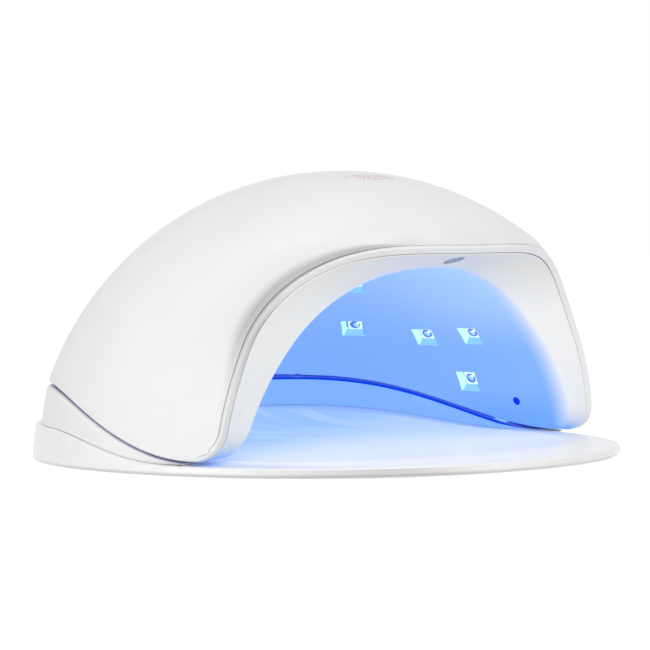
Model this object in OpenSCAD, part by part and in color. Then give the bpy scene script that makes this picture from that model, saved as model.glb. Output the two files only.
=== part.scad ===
// Nail lamp: a light-curing lamp for nails. An oval base plate with a raised rear collar carries
// a lift-off head: a domed shell with an arched mouth, lined by a reflector that holds the LEDs.
// Front is -Y, the width runs along X, and the table is at z = 0.

/* [Base plate] */
// Width of the base plate, side to side
tray_w = 232; // [220:1:250]
// Depth of the base plate, front to back
tray_d = 210.5; // [204:0.5:224]
// Height of the plate's front edge above the table
edge_h = 3.8; // [3.4:0.1:4.6]
// Height of the plate's top face inside the arch
floor_h = 5.2; // [4.8:0.1:6]
// Height of the plate's rim at the rear, outside
rim_h = 13.5; // [11:0.5:16]
// Height of the plate's cove at the rear, inside
cove_h = 13.4; // [11:0.1:16]
// Width of the cove that sweeps up to the collar
cove_w = 28; // [18:1:36]
// Slope of the plate's side, inward per unit of height
side_draft = 0.11; // [0.02:0.01:0.16]
// How far a rubber foot stands below the plate
foot_h = 0.8; // [0.5:0.1:1.6]
// Diameter of a rubber foot
foot_d = 14; // [8:0.5:18]
// Depth to which a rubber foot sits in the plate
foot_sink = 1.2; // [0.6:0.1:1.6]

/* [Rear collar] */
// Height of the collar's top at the rear, outside
collar_h = 28.5; // [25:0.5:32]
// Height of the collar's top at the rear, inside
collar_in_h = 25.3; // [24:0.1:28]
// Setback of the collar from the plate's side
collar_step = 1.2; // [0.6:0.1:2]
// Front end of the collar, behind the lamp's centre when positive
collar_tip_y = -28; // [-30:1:-22]
// Thickness of the collar's front tips
collar_tip_t = 0.6; // [0.4:0.1:1]
// Width of a locating tab
tab_w = 5; // [3:0.5:8]

/* [Head] */
// Height of the top of the dome above the table
head_h = 108; // [104:0.5:116]
// How far the dome stands inside the plate's outline
head_inset = 2; // [1:0.1:4]
// Gap between the head and the base
gap = 1.2; // [0.8:0.1:1.6]
// Gap between the head's feet and the plate
foot_gap = 0.9; // [0.7:0.1:1.6]
// Wall of the dome
dome_wall = 3; // [2.4:0.1:3.6]
// Wall of the dome at the front lip's legs
lip_wall = 3.6; // [3:0.1:4.4]
// Wall of the dome at the front lip's crown
lip_top_wall = 5.2; // [4:0.1:5.6]
// Position of the dome's highest point, front to back
apex_y = -6.5; // [-12:0.5:0]
// Position of the lip's middle, front to back
lip_y = -71.5; // [-76:0.5:-66]
// Position of the arch's upright legs, front to back
leg_y = -46; // [-48:0.5:-44]
// Height at which the arch's legs start to lean forward
lean_h = 46; // [38:1:54]
// Radius of the rounded front corner of each leg
corner_r = 12; // [9:0.5:15]
// Front end of the head's side seams
seam_y = -33; // [-34:0.5:-31]

/* [Reflector] */
// Drop from the dome's top to the cavity's ceiling
ceiling_drop = 32; // [30:0.5:36]
// Width of the arch face beside the cavity
face_w = 17.7; // [15:0.1:20]
// Depth of the wall behind the cavity, from the plate's rear edge
rear_w = 24.5; // [22:0.5:28]
// Position of the cavity mouth's highest point, front to back
mouth_y = -51.5; // [-56:0.5:-48]
// Wall of the reflector
liner_wall = 2.2; // [1.8:0.1:2.8]
// Radius of the edge between the arch face and the cavity
mouth_r = 5; // [4:0.5:7]
// Clearance between parts that are fitted into each other
fit_gap = 0.3; // [0.2:0.05:0.4]

/* [LEDs] */
// Side of an LED window
window_s = 8.6; // [7:0.1:10]
// Side of an LED board
led_board_s = 12; // [11:0.5:14]
// Thickness of an LED board
led_board_t = 1.2; // [0.8:0.1:1.6]
// Side of an LED package
led_s = 5; // [3.5:0.1:5.6]
// Height of an LED package
led_h = 1.1; // [0.8:0.1:1.6]
// Diameter of an LED lens
lens_d = 4.4; // [3:0.1:5]
// Diameter of the hand sensor's window
sensor_d = 8; // [6:0.5:9]
// Thickness of the hand sensor's window
sensor_t = 1.6; // [1.2:0.1:2]

/* [Controls] */
// Position of the control panel's middle, front to back
panel_y = 30; // [26:1:34]
// Depth of the control board below the dome's top face
board_drop = 15; // [14:0.5:16]
// Width of the control board
board_w = 76; // [75:0.5:78]
// Depth of the control board
board_d = 40; // [36:1:42]
// Thickness of the control board
board_t = 1.6; // [1:0.1:2]
// Diameter of a timer button
button_d = 11; // [9:0.5:12]
// Distance between timer buttons
button_pitch = 15; // [14:0.5:16]
// Distance of the button row behind the panel's middle
button_row = 12; // [11:0.5:13]
// How far a button stands proud of the dome
button_proud = 0.8; // [0.5:0.1:1.2]
// Travel of a button
button_travel = 0.8; // [0.5:0.1:1]
// Width of the display window
display_w = 34; // [28:1:38]
// Depth of the display window
display_d = 15; // [12:0.5:17]
// Distance of the display ahead of the panel's middle
display_row = 8; // [7:0.5:9]

/* [Power socket] */
// Height of the socket above the table
jack_h = 43; // [42:0.5:45]
// Diameter of the socket's surround
jack_cup_d = 15; // [13:0.5:16]
// Outside diameter of the socket's barrel
jack_d = 8; // [7:0.1:9]
// Bore of the socket's barrel
jack_bore = 5.5; // [5.5:0.1:6.3]
// Diameter of the socket's centre pin
jack_pin_d = 2.1; // [2:0.1:2.5]
// Length of the socket's centre pin inside the barrel
jack_pin_l = 9; // [8:0.5:9.5]
// Length of the socket's barrel
jack_l = 13; // [12:0.5:14]

/* [Fasteners] */
// Diameter of a screw's shank
screw_d = 2.6; // [2:0.1:3]
// Diameter of a screw's head
screw_head_d = 5; // [4.4:0.1:5.6]
// Height of a screw's head
screw_head_h = 1.8; // [1.4:0.1:2]
// Diameter of a holding magnet
magnet_d = 8; // [6:0.5:9]
// Thickness of a holding magnet
magnet_t = 2.5; // [2:0.1:3]
// Thickness of the bottom ring that closes the head
ring_t = 2.4; // [2:0.1:3]
// Outside diameter of a screw post
post_d = 6.5; // [6:0.1:7]

/* [Hidden] */

WHITE = [0.93, 0.93, 0.94];
PALE = [0.86, 0.88, 0.92];
BLUE = [0.55, 0.74, 1];
STEEL = [0.7, 0.71, 0.73];
DARK = [0.15, 0.15, 0.17];
GREEN = [0.1, 0.35, 0.22];
PINK = [0.92, 0.45, 0.65];

// Plan outline of the base plate
half_w = tray_w / 2;
half_d = tray_d / 2;
plate_n = 2.1;
plate_z = foot_h;
edge_r = 1;

// Side-view runs of the seams, front and rear ends of each rise
seam_run = [-32, 60];
seam_in_run = [-35, 70];
rim_run = [-22, 48];
cove_run = [-15, 80];
seam_low = edge_h + collar_tip_t + gap / 2;
seam_in_low = floor_h + foot_gap - gap / 2;

// Fits and small sizes of the base
seat_gap = 0.1;
front_land = 20;
collar_edge = 0.6;
screw_sink = 5;
tab_y = -6.8;
tab_h = 4;
tab_t = 2;
ring_up = 0.6;
ring_fit = 1.5 * fit_gap;

// Fits and small sizes of the head
catch_d = 7.4;
boss_gap = 4.8;
liner_hole_y = -19.1;
liner_hole_z = 16.8;
sensor_board = [10, 5, 1];

// Dome: plan outline, crest line and cross-sections
base_z = 3;
ceiling_h = head_h - ceiling_drop;
dome_half_w = half_w - head_inset;
plan_y = -1;
plan_rear = half_d - head_inset - 1.25 - plan_y;
plan_front = half_d + 42.75 + plan_y;
plan_n = 2.2;
crest_n = 2.1;
crest_rear = half_d - head_inset - 4.25 - apex_y;
crest_front = half_d - 5.25 + apex_y;
section_p = [2, 0.3];
section_q = [1.78, 0.1];
section_run = 68;

// Reflector cavity: plan outline, ceiling line and cross-sections
cav_half_w = dome_half_w - face_w;
cav_plan_y = -20;
cav_plan_rear = half_d - rear_w + 0.25 - cav_plan_y;
cav_plan_n = 3;
ceil_y = -12;
ceil_rear = half_d - rear_w + 3.15 - ceil_y;
ceil_front = 105;
cav_p = 2;
cav_q = 1.58;

// Mesh counts
DOME_ROWS = 24;
DOME_COLS = 18;
CAV_ROWS = 15;
CAV_COLS = 18;
TRAY_REAR = 28;
TRAY_FRONT = 14;
SMOOTH = 48;
EPS = 0.01;

// Plain helpers
function clamp(v, lo, hi) = max(lo, min(hi, v));
function mix(a, b, t) = a + (b - a) * t;
function ease(t) = (1 - cos(180 * clamp(t, 0, 1))) / 2;
function rise(y, run) = ease((y - run[0]) / (run[1] - run[0]));
function sgn(v) = v < 0 ? -1 : 1;
function quarter(t, n) = pow(max(0, 1 - pow(min(abs(t), 1), n)), 1 / n);
function unit(v) = v / max(norm(v), 1e-9);
function flip_x(p) = [-p.x, p.y, p.z];
function mirrored(row) = concat([for (p = row) flip_x(p)], [for (i = [len(row) - 2:-1:0]) row[i]]);
function flat(rows) = [for (r = rows) for (p = r) p];

// Heights of the seam between head and collar, and of the plate's rim and cove, at depth y
function seam_z(y) = seam_low + (collar_h - seam_low) * rise(y, seam_run);
function seam_in_z(y) = seam_in_low + (collar_in_h - seam_in_low) * rise(y, seam_in_run);
function rim_z(y) = edge_h + (rim_h - edge_h) * rise(y, rim_run);
function cove_z(y) = floor_h + (cove_h - floor_h) * rise(y, cove_run);

// Dome surface
function dome_half(y) =
    dome_half_w * quarter((y - plan_y) / (y > plan_y ? plan_rear : plan_front), plan_n);
function crest_z(y) =
    base_z + (head_h - base_z) * quarter((y - apex_y) / (y > apex_y ? crest_rear : crest_front), crest_n);
function sec_p(y) = section_p[0] + section_p[1] * clamp(-y / section_run, 0, 1.1);
function sec_q(y) = section_q[0] + section_q[1] * clamp(-y / section_run, 0, 1.1);
function dome_x(y, z) =
    let (u = clamp((z - base_z) / max(crest_z(y) - base_z, EPS), 0, 1))
    dome_half(y) * pow(1 - pow(u, sec_q(y)), 1 / sec_p(y));
function dome_z(x, y) =
    let (u = clamp(abs(x) / dome_half(y), 0, 1))
    base_z + (crest_z(y) - base_z) * pow(1 - pow(u, sec_p(y)), 1 / sec_q(y));
function dome_level(x, y, z) =
    pow(abs(x) / dome_half(y), sec_p(y)) + pow(max(z - base_z, 0) / (crest_z(y) - base_z), sec_q(y));
function dome_normal(p, e = 0.05) = unit([
    dome_level(p.x + e, p.y, p.z) - dome_level(p.x - e, p.y, p.z),
    dome_level(p.x, p.y + e, p.z) - dome_level(p.x, p.y - e, p.z),
    dome_level(p.x, p.y, p.z + e) - dome_level(p.x, p.y, p.z - e)]);

// Cavity surface
function cav_half(y) = cav_half_w * quarter(max(0, y - cav_plan_y) / cav_plan_rear, cav_plan_n);
function ceil_z(y) =
    base_z + (ceiling_h - base_z) * quarter((y - ceil_y) / (y > ceil_y ? ceil_rear : ceil_front), crest_n);
function cav_x(y, z) =
    let (u = clamp((z - base_z) / max(ceil_z(y) - base_z, EPS), 0, 1))
    cav_half(y) * pow(1 - pow(u, cav_q), 1 / cav_p);
function cav_level(p) =
    p.y - cav_plan_y >= cav_plan_rear ? 9 :
    pow(abs(p.x) / cav_half(p.y), cav_p)
        + pow(max(p.z - base_z, 0) / max(ceil_z(p.y) - base_z, EPS), cav_q);
function cav_normal(p, e = 0.05) = unit([
    cav_level(p + [e, 0, 0]) - cav_level(p - [e, 0, 0]),
    cav_level(p + [0, e, 0]) - cav_level(p - [0, e, 0]),
    cav_level(p + [0, 0, e]) - cav_level(p - [0, 0, e])]);
function cav_hit(c, d, near = 0, far = 130, n = 22) =
    n == 0 ? c + d * near :
    let (m = (near + far) / 2)
    cav_level(c + d * m) < 1 ? cav_hit(c, d, m, far, n - 1) : cav_hit(c, d, near, m, n - 1);

// Points [y, z] of the crest and of the ceiling at an angle from the highest point
function arc_y(y0, front, rear, a) = y0 + (a > 0 ? rear : front) * sgn(a) * pow(abs(sin(a)), 2 / crest_n);
function arc_z(top, a) = base_z + (top - base_z) * pow(cos(a), 2 / crest_n);
function crest_pt(a) = [arc_y(apex_y, crest_front, crest_rear, a), arc_z(head_h, a)];
function ceil_pt(a) = [arc_y(ceil_y, ceil_front, ceil_rear, a), arc_z(ceiling_h, a)];
function front_angle(y, y0, reach) = -asin(pow((y0 - y) / reach, crest_n / 2));
function rear_angle(z, top) = acos(pow((z - base_z) / (top - base_z), crest_n / 2));

// Side view of the head's front edge: a rounded corner, an upright leg and a curve to the tip
LEG_PART = 0.3;
head_z = seam_z(seam_y) + gap / 2;
head_in_z = seam_in_z(seam_y) + gap / 2;
function corner_pt(t, z0) =
    [seam_y - corner_r * sin(90 * t), z0 + corner_r * (1 - cos(90 * t))];
function leg_pt(t, z0, y_leg, tip) =
    let (a = 90 * clamp(t / LEG_PART, 0, 1), b = 90 * clamp((t - LEG_PART) / (1 - LEG_PART), 0, 1))
    [seam_y - corner_r + (y_leg - seam_y + corner_r) * sin(a) + (tip[0] - y_leg) * (1 - cos(b)),
     z0 + corner_r + (lean_h - z0 - corner_r) * a / 90 + (tip[1] - lean_h) * sin(b)];
function front_end(t) = 1 - (1 - t) * (1 - t);

lip_tip = [lip_y, crest_z(lip_y)];
mouth_leg_y = leg_y + 0.5;
mouth_tip = [mouth_y, ceil_z(mouth_y)];

// A rib runs up from a foot point to the crest. Its shape is mixed from two edge curves, each taken as
// shares of the way back (y) and of the way up to the crest.
function level_of(q, top) = (q[1] - base_z) / (top - base_z);
function shares(p, a, b, pt, at) =
    let (u = level_of(a, at)) [(p[0] - a[0]) / (b[0] - a[0]), (level_of(p, pt) - u) / (1 - u)];
function dome_share(p, a, b) = shares(p, a, b, crest_z(p[0]), crest_z(a[0]));
function cav_share(p, a, b) = shares(p, a, b, ceil_z(p[0]), ceil_z(a[0]));
function edge_rib(t, from, part, z0, y_leg, tip) =
    t < part ? corner_pt(mix(from, 1, t / part), z0) :
    leg_pt(front_end((t - part) / (1 - part)), z0, y_leg, tip);
function edge_lip(t) = edge_rib(t, LIP_FROM, LIP_PART, head_z, leg_y, lip_tip);
function edge_mouth(t) = edge_rib(t, 0, MOUTH_PART, head_in_z, mouth_leg_y, mouth_tip);
function seam_pt(y) = [y, seam_z(y) + gap / 2];
function seam_in_pt(y) = [y, seam_in_z(y) + gap / 2];

// Dome ribs, from the lip (v = 0) to the rear seam (v = 1)
LIP_FROM = 0.5;
LIP_PART = 0.12;
FOOT_PART = 0.2;
dome_foot_y = half_d - 27.25;
dome_rear_a = rear_angle(collar_h + gap / 2, head_h);
dome_front_a = front_angle(lip_y, apex_y, crest_front);
function dome_foot(v) =
    v < FOOT_PART ? corner_pt(LIP_FROM * (1 - v / FOOT_PART), head_z) :
    seam_pt(mix(seam_y, dome_foot_y, (v - FOOT_PART) / (1 - FOOT_PART)));
dome_rear = crest_pt(dome_rear_a);
function dome_rib(v, t) =
    let (a = dome_foot(v), f = dome_share(edge_lip(t), dome_foot(0), lip_tip),
        r = dome_share(seam_pt(mix(dome_foot_y, dome_rear[0], front_end(t))), dome_foot(1), dome_rear),
        m = mix(f, r, v), y = mix(a[0], crest_pt(mix(dome_front_a, dome_rear_a, v))[0], m[0]))
    [y, mix(base_z, crest_z(y), mix(level_of(a, crest_z(a[0])), 1, m[1]))];
function on_dome(q) = [dome_x(q[0], q[1]), q[0], q[1]];
function dome_point(v, t) =
    let (q = dome_rib(v, t)) t > 1 - EPS / 10 ? [0, q[0], q[1]] : on_dome(q);
function lip_at(t) = mix(lip_wall, lip_top_wall, t * t);
function wall_at(v, t) = mix(lip_at(t), dome_wall, clamp(v * 8, 0, 1));
function dome_inward(p, v) =
    let (n = dome_normal(p), k = clamp((1 - v) * 5, 0, 1))
    -unit([n.x, n.y, n.z * (v > 0.5 ? k : 1)]);
dome_out = [for (i = [0:DOME_ROWS]) [for (j = [0:DOME_COLS]) dome_point(i / DOME_ROWS, j / DOME_COLS)]];
dome_in = [for (i = [0:DOME_ROWS]) let (v = i / DOME_ROWS) [for (j = [0:DOME_COLS])
    let (p = dome_out[i][j]) p + dome_inward(p, v) * wall_at(v, j / DOME_COLS)]];

// Arch face and cavity: ribs from the face's outer rim to the cavity's lower rear edge
MOUTH_PART = 0.2;
cav_foot_y = half_d - 39.25;
cav_rear_a = rear_angle(collar_in_h + gap / 2, ceiling_h);
cav_front_a = front_angle(mouth_y, ceil_y, ceil_front);
cav_rear = ceil_pt(cav_rear_a);
function cav_rib(v, t) =
    let (a = seam_in_pt(mix(seam_y, cav_foot_y, v)), b = seam_in_pt(cav_foot_y),
        f = cav_share(edge_mouth(t), seam_in_pt(seam_y), mouth_tip),
        r = cav_share(seam_in_pt(mix(cav_foot_y, cav_rear[0], front_end(t))), b, cav_rear),
        m = mix(f, r, v), y = mix(a[0], ceil_pt(mix(cav_front_a, cav_rear_a, v))[0], m[0]))
    [y, mix(base_z, ceil_z(y), mix(level_of(a, ceil_z(a[0])), 1, m[1]))];
function cav_point(v, t) =
    let (q = cav_rib(v, t)) [t > 1 - EPS / 10 ? 0 : cav_x(q[0], q[1]), q[0], q[1]];
function face_rim(t) =
    let (q = edge_rib(t, 0, MOUTH_PART, head_z, leg_y, lip_tip),
        p = t > 1 - EPS / 10 ? [0, q[0], q[1]] : on_dome(q))
    p - dome_normal(p) * (lip_at(t) + fit_gap);
function bend(a, k, b, t) = mix(mix(a, k, t), mix(k, b, t), t);
MOUTH_V = 0.1;
function face_col(t) =
    let (o = face_rim(t), k = cav_point(0, t), b = cav_point(MOUTH_V, t), a = k + unit(o - k) * mouth_r)
    [o, mix(o, a, 0.5), a, bend(a, k, b, 0.3), bend(a, k, b, 0.6)];
face_cols = [for (j = [0:CAV_COLS]) face_col(j / CAV_COLS)];
face_rows = [for (i = [0:len(face_cols[0]) - 1]) [for (c = face_cols) c[i]]];
cav_rows = [for (i = [0:CAV_ROWS]) let (v = mix(MOUTH_V, 1, i / CAV_ROWS))
    [for (j = [0:CAV_COLS]) cav_point(v, j / CAV_COLS)]];
liner_half = concat(face_rows, cav_rows);
liner_grid = [for (r = liner_half) mirrored(r)];

// Normals of a grid of points, from its neighbours
function grid_normal(g, i, j) =
    let (n = len(g) - 1, m = len(g[0]) - 1,
        a = g[min(i + 1, n)][j] - g[max(i - 1, 0)][j],
        b = g[i][min(j + 1, m)] - g[i][max(j - 1, 0)])
    unit(cross(b, a));
LINER_LAST = len(liner_grid) - 1;
function slide_on(n, m) = n - m * (n * m);
function liner_back(i, j) =
    let (p = liner_grid[i][j], n = grid_normal(liner_grid, i, j), f = clamp((LINER_LAST - i) / 3, 0, 1),
        d = i == 0 ? slide_on(n, dome_normal(p)) : unit([n.x, n.y, n.z * (i > LINER_LAST / 2 ? f : 1)]))
    p + d * liner_wall / (d * d);
liner_back_grid = [for (i = [0:LINER_LAST])
    [for (j = [0:len(liner_grid[0]) - 1]) liner_back(i, j)]];

// Faces of a shell between two equal grids, a outside and b inside
function quad(a, b, c, d) = [[a, b, c], [a, c, d]];
function quad_alt(a, b, c, d) = [[a, b, d], [b, c, d]];
function grid_faces(rows, cols, o, turn) = [for (i = [0:rows - 2]) for (j = [0:cols - 2])
    let (a = o + i * cols + j, b = a + 1, c = b + cols, d = a + cols,
        ac = (j < (cols - 1) / 2) == (i < (rows - 1) / 2))
    for (f = turn ? (ac ? quad(a, d, c, b) : quad_alt(a, d, c, b))
        : (ac ? quad(a, b, c, d) : quad_alt(a, b, c, d))) f];
function rim_faces(ring, shift, turn) = [for (i = [0:len(ring) - 1])
    let (a = ring[i], b = ring[(i + 1) % len(ring)])
    for (f = turn ? quad(b, a, a + shift, b + shift) : quad(a, b, b + shift, a + shift)) f];
function border(rows, cols) = concat(
    [for (j = [0:cols - 1]) j],
    [for (i = [1:rows - 1]) i * cols + cols - 1],
    [for (j = [cols - 2:-1:0]) (rows - 1) * cols + j],
    [for (i = [rows - 2:-1:1]) i * cols]);
module shell(a, b, turn = false) {
    rows = len(a);
    cols = len(a[0]);
    polyhedron(concat(flat(a), flat(b)), concat(
        grid_faces(rows, cols, 0, turn),
        grid_faces(rows, cols, rows * cols, !turn),
        rim_faces(border(rows, cols), rows * cols, !turn)), convexity = 6);
}

// A closed solid through equal rings of points, capped at both ends
module loft(rings) {
    m = len(rings[0]);
    n = len(rings);
    polyhedron(flat(rings), concat(
        [[for (j = [0:m - 1]) j]],
        [[for (j = [m - 1:-1:0]) (n - 1) * m + j]],
        [for (i = [0:n - 2]) for (j = [0:m - 1])
            let (a = i * m + j, b = i * m + (j + 1) % m)
            for (f = quad(a, a + m, b + m, b)) f]), convexity = 6);
}

// Places a child with its +Z along a direction, its X level
module aim(p, d, spin = 0) {
    translate(p) rotate([0, acos(clamp(d.z, -1, 1)), atan2(d.y, d.x)]) rotate(spin) children();
}
module both_sides() {
    children();
    mirror([1, 0, 0]) children();
}

// Stations round the plate: 1 at the rear middle, 0 at the seam's front end, -1 at the front middle
STATIONS = concat([for (i = [TRAY_REAR:-1:0]) i / TRAY_REAR], [for (i = [1:TRAY_FRONT]) -i / TRAY_FRONT]);
function st_y(s, rear) = s >= 0 ? mix(seam_y, rear, front_end(s)) : mix(seam_y, -half_d, sin(-90 * s));
function st_at(y, rear) = 1 - sqrt(1 - (y - seam_y) / (rear - seam_y));
function plate_pt(s) =
    let (y = st_y(s, half_d)) [abs(s) == 1 ? 0 : half_w * quarter(y / half_d, plate_n), y];
function plate_normal(s) =
    let (p = plate_pt(s))
    unit([pow(p.x / half_w, plate_n - 1) / half_w,
        sgn(p.y) * pow(abs(p.y) / half_d, plate_n - 1) / half_d]);
function plate_inset(s, d, z) = let (p = plate_pt(s) - plate_normal(s) * d) [p.x, p.y, z];
function rim_pt(s) =
    let (z = rim_z(st_y(s, half_d))) plate_inset(s, side_draft * (z - plate_z - edge_r) + edge_r, z);

// Heights of the crest and ceiling, turned round: how far back they are at a height
function crest_back(z) = crest_pt(rear_angle(z, head_h))[0];
function ceil_back(z) = min(ceil_pt(rear_angle(z, ceiling_h))[0], cav_plan_y + cav_plan_rear);
function cove_pt(s) =
    s < 0 ? [cav_x(seam_y, floor_h) * cos(90 * s),
        seam_y + (half_d + seam_y - front_land) * sin(90 * s), floor_h] :
    let (y = st_y(s, ceil_back(cove_h)), z = cove_z(y)) [s == 1 ? 0 : cav_x(y, z), y, z];
function land_pt(s, f) = mix(rim_pt(s), cove_pt(s), f);
function land_at(s, d) = land_pt(s, d / norm(rim_pt(s) - cove_pt(s)));

// Points of the dome and of the cavity at a station, at a height above their seams
function dome_st(s, dz) =
    let (y = st_y(s, crest_back(collar_h + dz)), z = seam_z(y) + dz) [s == 1 ? 0 : dome_x(y, z), y, z];
function cav_st(s, dz) =
    let (y = st_y(s, ceil_back(collar_in_h + dz)), z = seam_in_z(y) + dz) [s == 1 ? 0 : cav_x(y, z), y, z];
function level_out(n) = unit([n.x, n.y, 0]);
function ring_out(s, dz) =
    let (p = dome_st(s, dz)) p - level_out(dome_normal(p)) * (dome_wall + ring_fit);
function ring_in(s, dz) =
    let (p = cav_st(s, dz)) p + level_out(cav_normal(p)) * (liner_wall + ring_fit);
ring_dz = gap / 2 + ring_up;
collar_back = crest_back(collar_h - gap / 2);
tab_x = cav_x(tab_y, seam_in_z(tab_y)) + liner_wall + 1.5 * fit_gap;
function ring_mid(s, f = 0.5) = mix(ring_out(s, ring_dz), ring_in(s, ring_dz), f);
function slope(a, b) = abs(a.z - b.z) / norm([a.x - b.x, a.y - b.y]);
function ring_slope(s) = norm([slope(ring_out(s, ring_dz), ring_in(s, ring_dz)),
    slope(ring_mid(s - EPS), ring_mid(s + EPS))]);

// Rings of the plate, from the underside's rim over the side to the floor
TRAY_RINGS = 8;
cove_to = [0, -10];
function tray_pt(k, s) =
    let (z = rim_z(st_y(s, half_d)), c = cove_pt(s), f = (k - 4) / (TRAY_RINGS - 4),
        d = unit(cove_to - [c.x, c.y]) * cove_w * f)
    k == 0 ? plate_inset(s, edge_r, plate_z) :
    k == 1 ? plate_inset(s, 0, plate_z + edge_r) :
    k == 2 ? plate_inset(s, side_draft * (z - plate_z - edge_r) + edge_r / 4, z - edge_r * 0.75) :
    k == 3 ? rim_pt(s) :
    k == 4 ? c : [c.x + d.x, c.y + d.y, floor_h + (c.z - floor_h) * (1 - f) * (1 - f)];
function tray_ring(k) = concat([for (s = STATIONS) flip_x(tray_pt(k, s))],
    [for (i = [len(STATIONS) - 2:-1:1]) tray_pt(k, STATIONS[i])]);

// Stations of a piece that runs round the rear from one side's front end to the other's
function rear_run(y, rear) = concat([st_at(y, rear)], [for (i = [1:TRAY_REAR]) i / TRAY_REAR]);
function swept(right) = concat(right,
    [for (i = [len(right) - 2:-1:0]) [for (p = right[i]) flip_x(p)]]);

// Section of the collar at a station: bottom edge outside, round the inner wall to the top
function collar_section(s) =
    let (up = [0, 0, seat_gap], o = land_at(s, collar_step) + up,
        i = land_at(s, norm(rim_pt(s) - cove_pt(s)) - seat_gap) + up,
        t = dome_st(s, -gap / 2), c = cav_st(s, -gap / 2),
        v = [c.x, c.y, max(c.z, i.z + collar_tip_t / 2)],
        b = min(collar_edge, (t.z - o.z) / 4), e = min(collar_edge, (v.z - i.z) / 4), w = unit(t - v))
    [o, i, v - unit(v - i) * e, v + w * e, t - w * b, t - unit(t - o) * b];

// Section of the ring that closes the head's underside
function ring_section(s) = [ring_out(s, ring_dz), ring_in(s, ring_dz),
    ring_in(s, ring_dz + ring_t), ring_out(s, ring_dz + ring_t)];

// Screws and magnets, by station
COLLAR_SCREWS = [0.36, 0.8];
RING_SCREWS = [0.2, 0.42, 0.84];
HOLDS = [0.07, 0.62];
FEET = [[68, -66], [98, 10], [62, 70]];
magnet_z = ring_mid(HOLDS[1]).z - ring_up - gap - 1.2 - magnet_t;
module at_feet() both_sides() for (f = FEET) translate(f) children();
module at_collar_screws() both_sides() for (s = COLLAR_SCREWS)
    translate([land_pt(s, 0.5).x, land_pt(s, 0.5).y, 0]) children();

module base_tray() {
    color(WHITE) difference() {
        loft([for (k = [0:TRAY_RINGS]) tray_ring(k)]);
        at_feet() cylinder(d = foot_d + fit_gap, h = plate_z + foot_sink + seat_gap, $fn = SMOOTH);
        at_collar_screws() {
            cylinder(d = screw_d + fit_gap, h = cove_h + 1, $fn = SMOOTH);
            cylinder(d = screw_head_d + fit_gap, h = plate_z + screw_sink, $fn = SMOOTH);
        }
        both_sides() translate([ring_mid(HOLDS[0]).x, ring_mid(HOLDS[0]).y, floor_h - magnet_t - 1])
            cylinder(d = magnet_d + fit_gap, h = magnet_t + 1, $fn = SMOOTH);
    }
}

module tray_feet() {
    color(DARK) at_feet() {
        cylinder(d1 = foot_d - 1, d2 = foot_d, h = 0.5, $fn = SMOOTH);
        translate([0, 0, 0.5]) cylinder(d = foot_d, h = plate_z + foot_sink - 0.5, $fn = SMOOTH);
    }
}

module collar_screws() {
    color(STEEL) both_sides() for (s = COLLAR_SCREWS)
        let (p = land_pt(s, 0.5)) translate([p.x, p.y, plate_z + screw_sink])
            screw(p.z - plate_z - screw_sink + 7);
}

// A pan-head screw, its head below z = 0 and its shank above
module screw(l, d = screw_d, head_d = screw_head_d, head_h = screw_head_h) {
    difference() {
        union() {
            translate([0, 0, -head_h]) cylinder(d = head_d, h = head_h, $fn = SMOOTH);
            cylinder(d = d, h = l, $fn = SMOOTH);
        }
        translate([0, 0, -head_h - EPS]) for (a = [0, 90]) rotate(a)
            translate([-head_d * 0.3, -0.3, 0]) cube([head_d * 0.6, 0.6, head_h / 2]);
    }
}

module base_collar() {
    color(WHITE) difference() {
        union() {
            loft(swept([for (s = rear_run(collar_tip_y, collar_back)) collar_section(s)]));
            both_sides() locating_tab();
        }
        at_collar_screws() cylinder(d = screw_d + seat_gap, h = cove_h + 8, $fn = SMOOTH);
        both_sides() let (p = ring_mid(HOLDS[1]))
            translate([p.x, p.y, magnet_z - seat_gap])
                cylinder(d = magnet_d + fit_gap, h = magnet_t + 5, $fn = SMOOTH);
    }
}

// The tab rises from the collar into a notch of the head's ring
module locating_tab(grow = 0) {
    translate([tab_x - grow, tab_y - tab_w / 2 - grow, seam_in_z(tab_y) - gap - 0.5])
        cube([tab_t + 2 * grow, tab_w + 2 * grow, gap + 0.5 + tab_h]);
}

module base_magnets() {
    color(STEEL) both_sides() {
        let (p = ring_mid(HOLDS[0])) translate([p.x, p.y, floor_h - magnet_t - 1 + seat_gap])
            cylinder(d = magnet_d, h = magnet_t, $fn = SMOOTH);
        let (p = ring_mid(HOLDS[1])) translate([p.x, p.y, magnet_z])
            cylinder(d = magnet_d, h = magnet_t, $fn = SMOOTH);
    }
}

// Control panel: a frame on the dome, its Z square to the surface at the panel's middle
panel_c = [0, panel_y, crest_z(panel_y)];
panel_n = dome_normal(panel_c);
panel_r = 107;
module on_panel() {
    translate(panel_c) rotate([-atan2(panel_n.y, panel_n.z), 0, 0]) children();
}
function panel_z(r) = sqrt(panel_r * panel_r - r * r) - panel_r;
module panel_ball(grow) {
    translate([0, 0, -panel_r]) sphere(r = panel_r + grow, $fn = 180);
}
BUTTONS = [for (i = [0:3]) [(i - 1.5) * button_pitch, button_row]];
board_hole = [board_w / 2 - 5, board_d / 2 - 5];
module at_board_corners() {
    for (x = [-1, 1]) for (y = [-1, 1]) translate([x * board_hole.x, y * board_hole.y, 0]) children();
}
module rounded_plate(w, d, r, h) {
    linear_extrude(h) rounded_square(w, d, r);
}
module rounded_square(w, d, r) {
    square([w - 2 * r, d], center = true);
    square([w, d - 2 * r], center = true);
    for (x = [-1, 1]) for (y = [-1, 1])
        translate([x * (w / 2 - r), y * (d / 2 - r)]) circle(r, $fn = SMOOTH);
}

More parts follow.
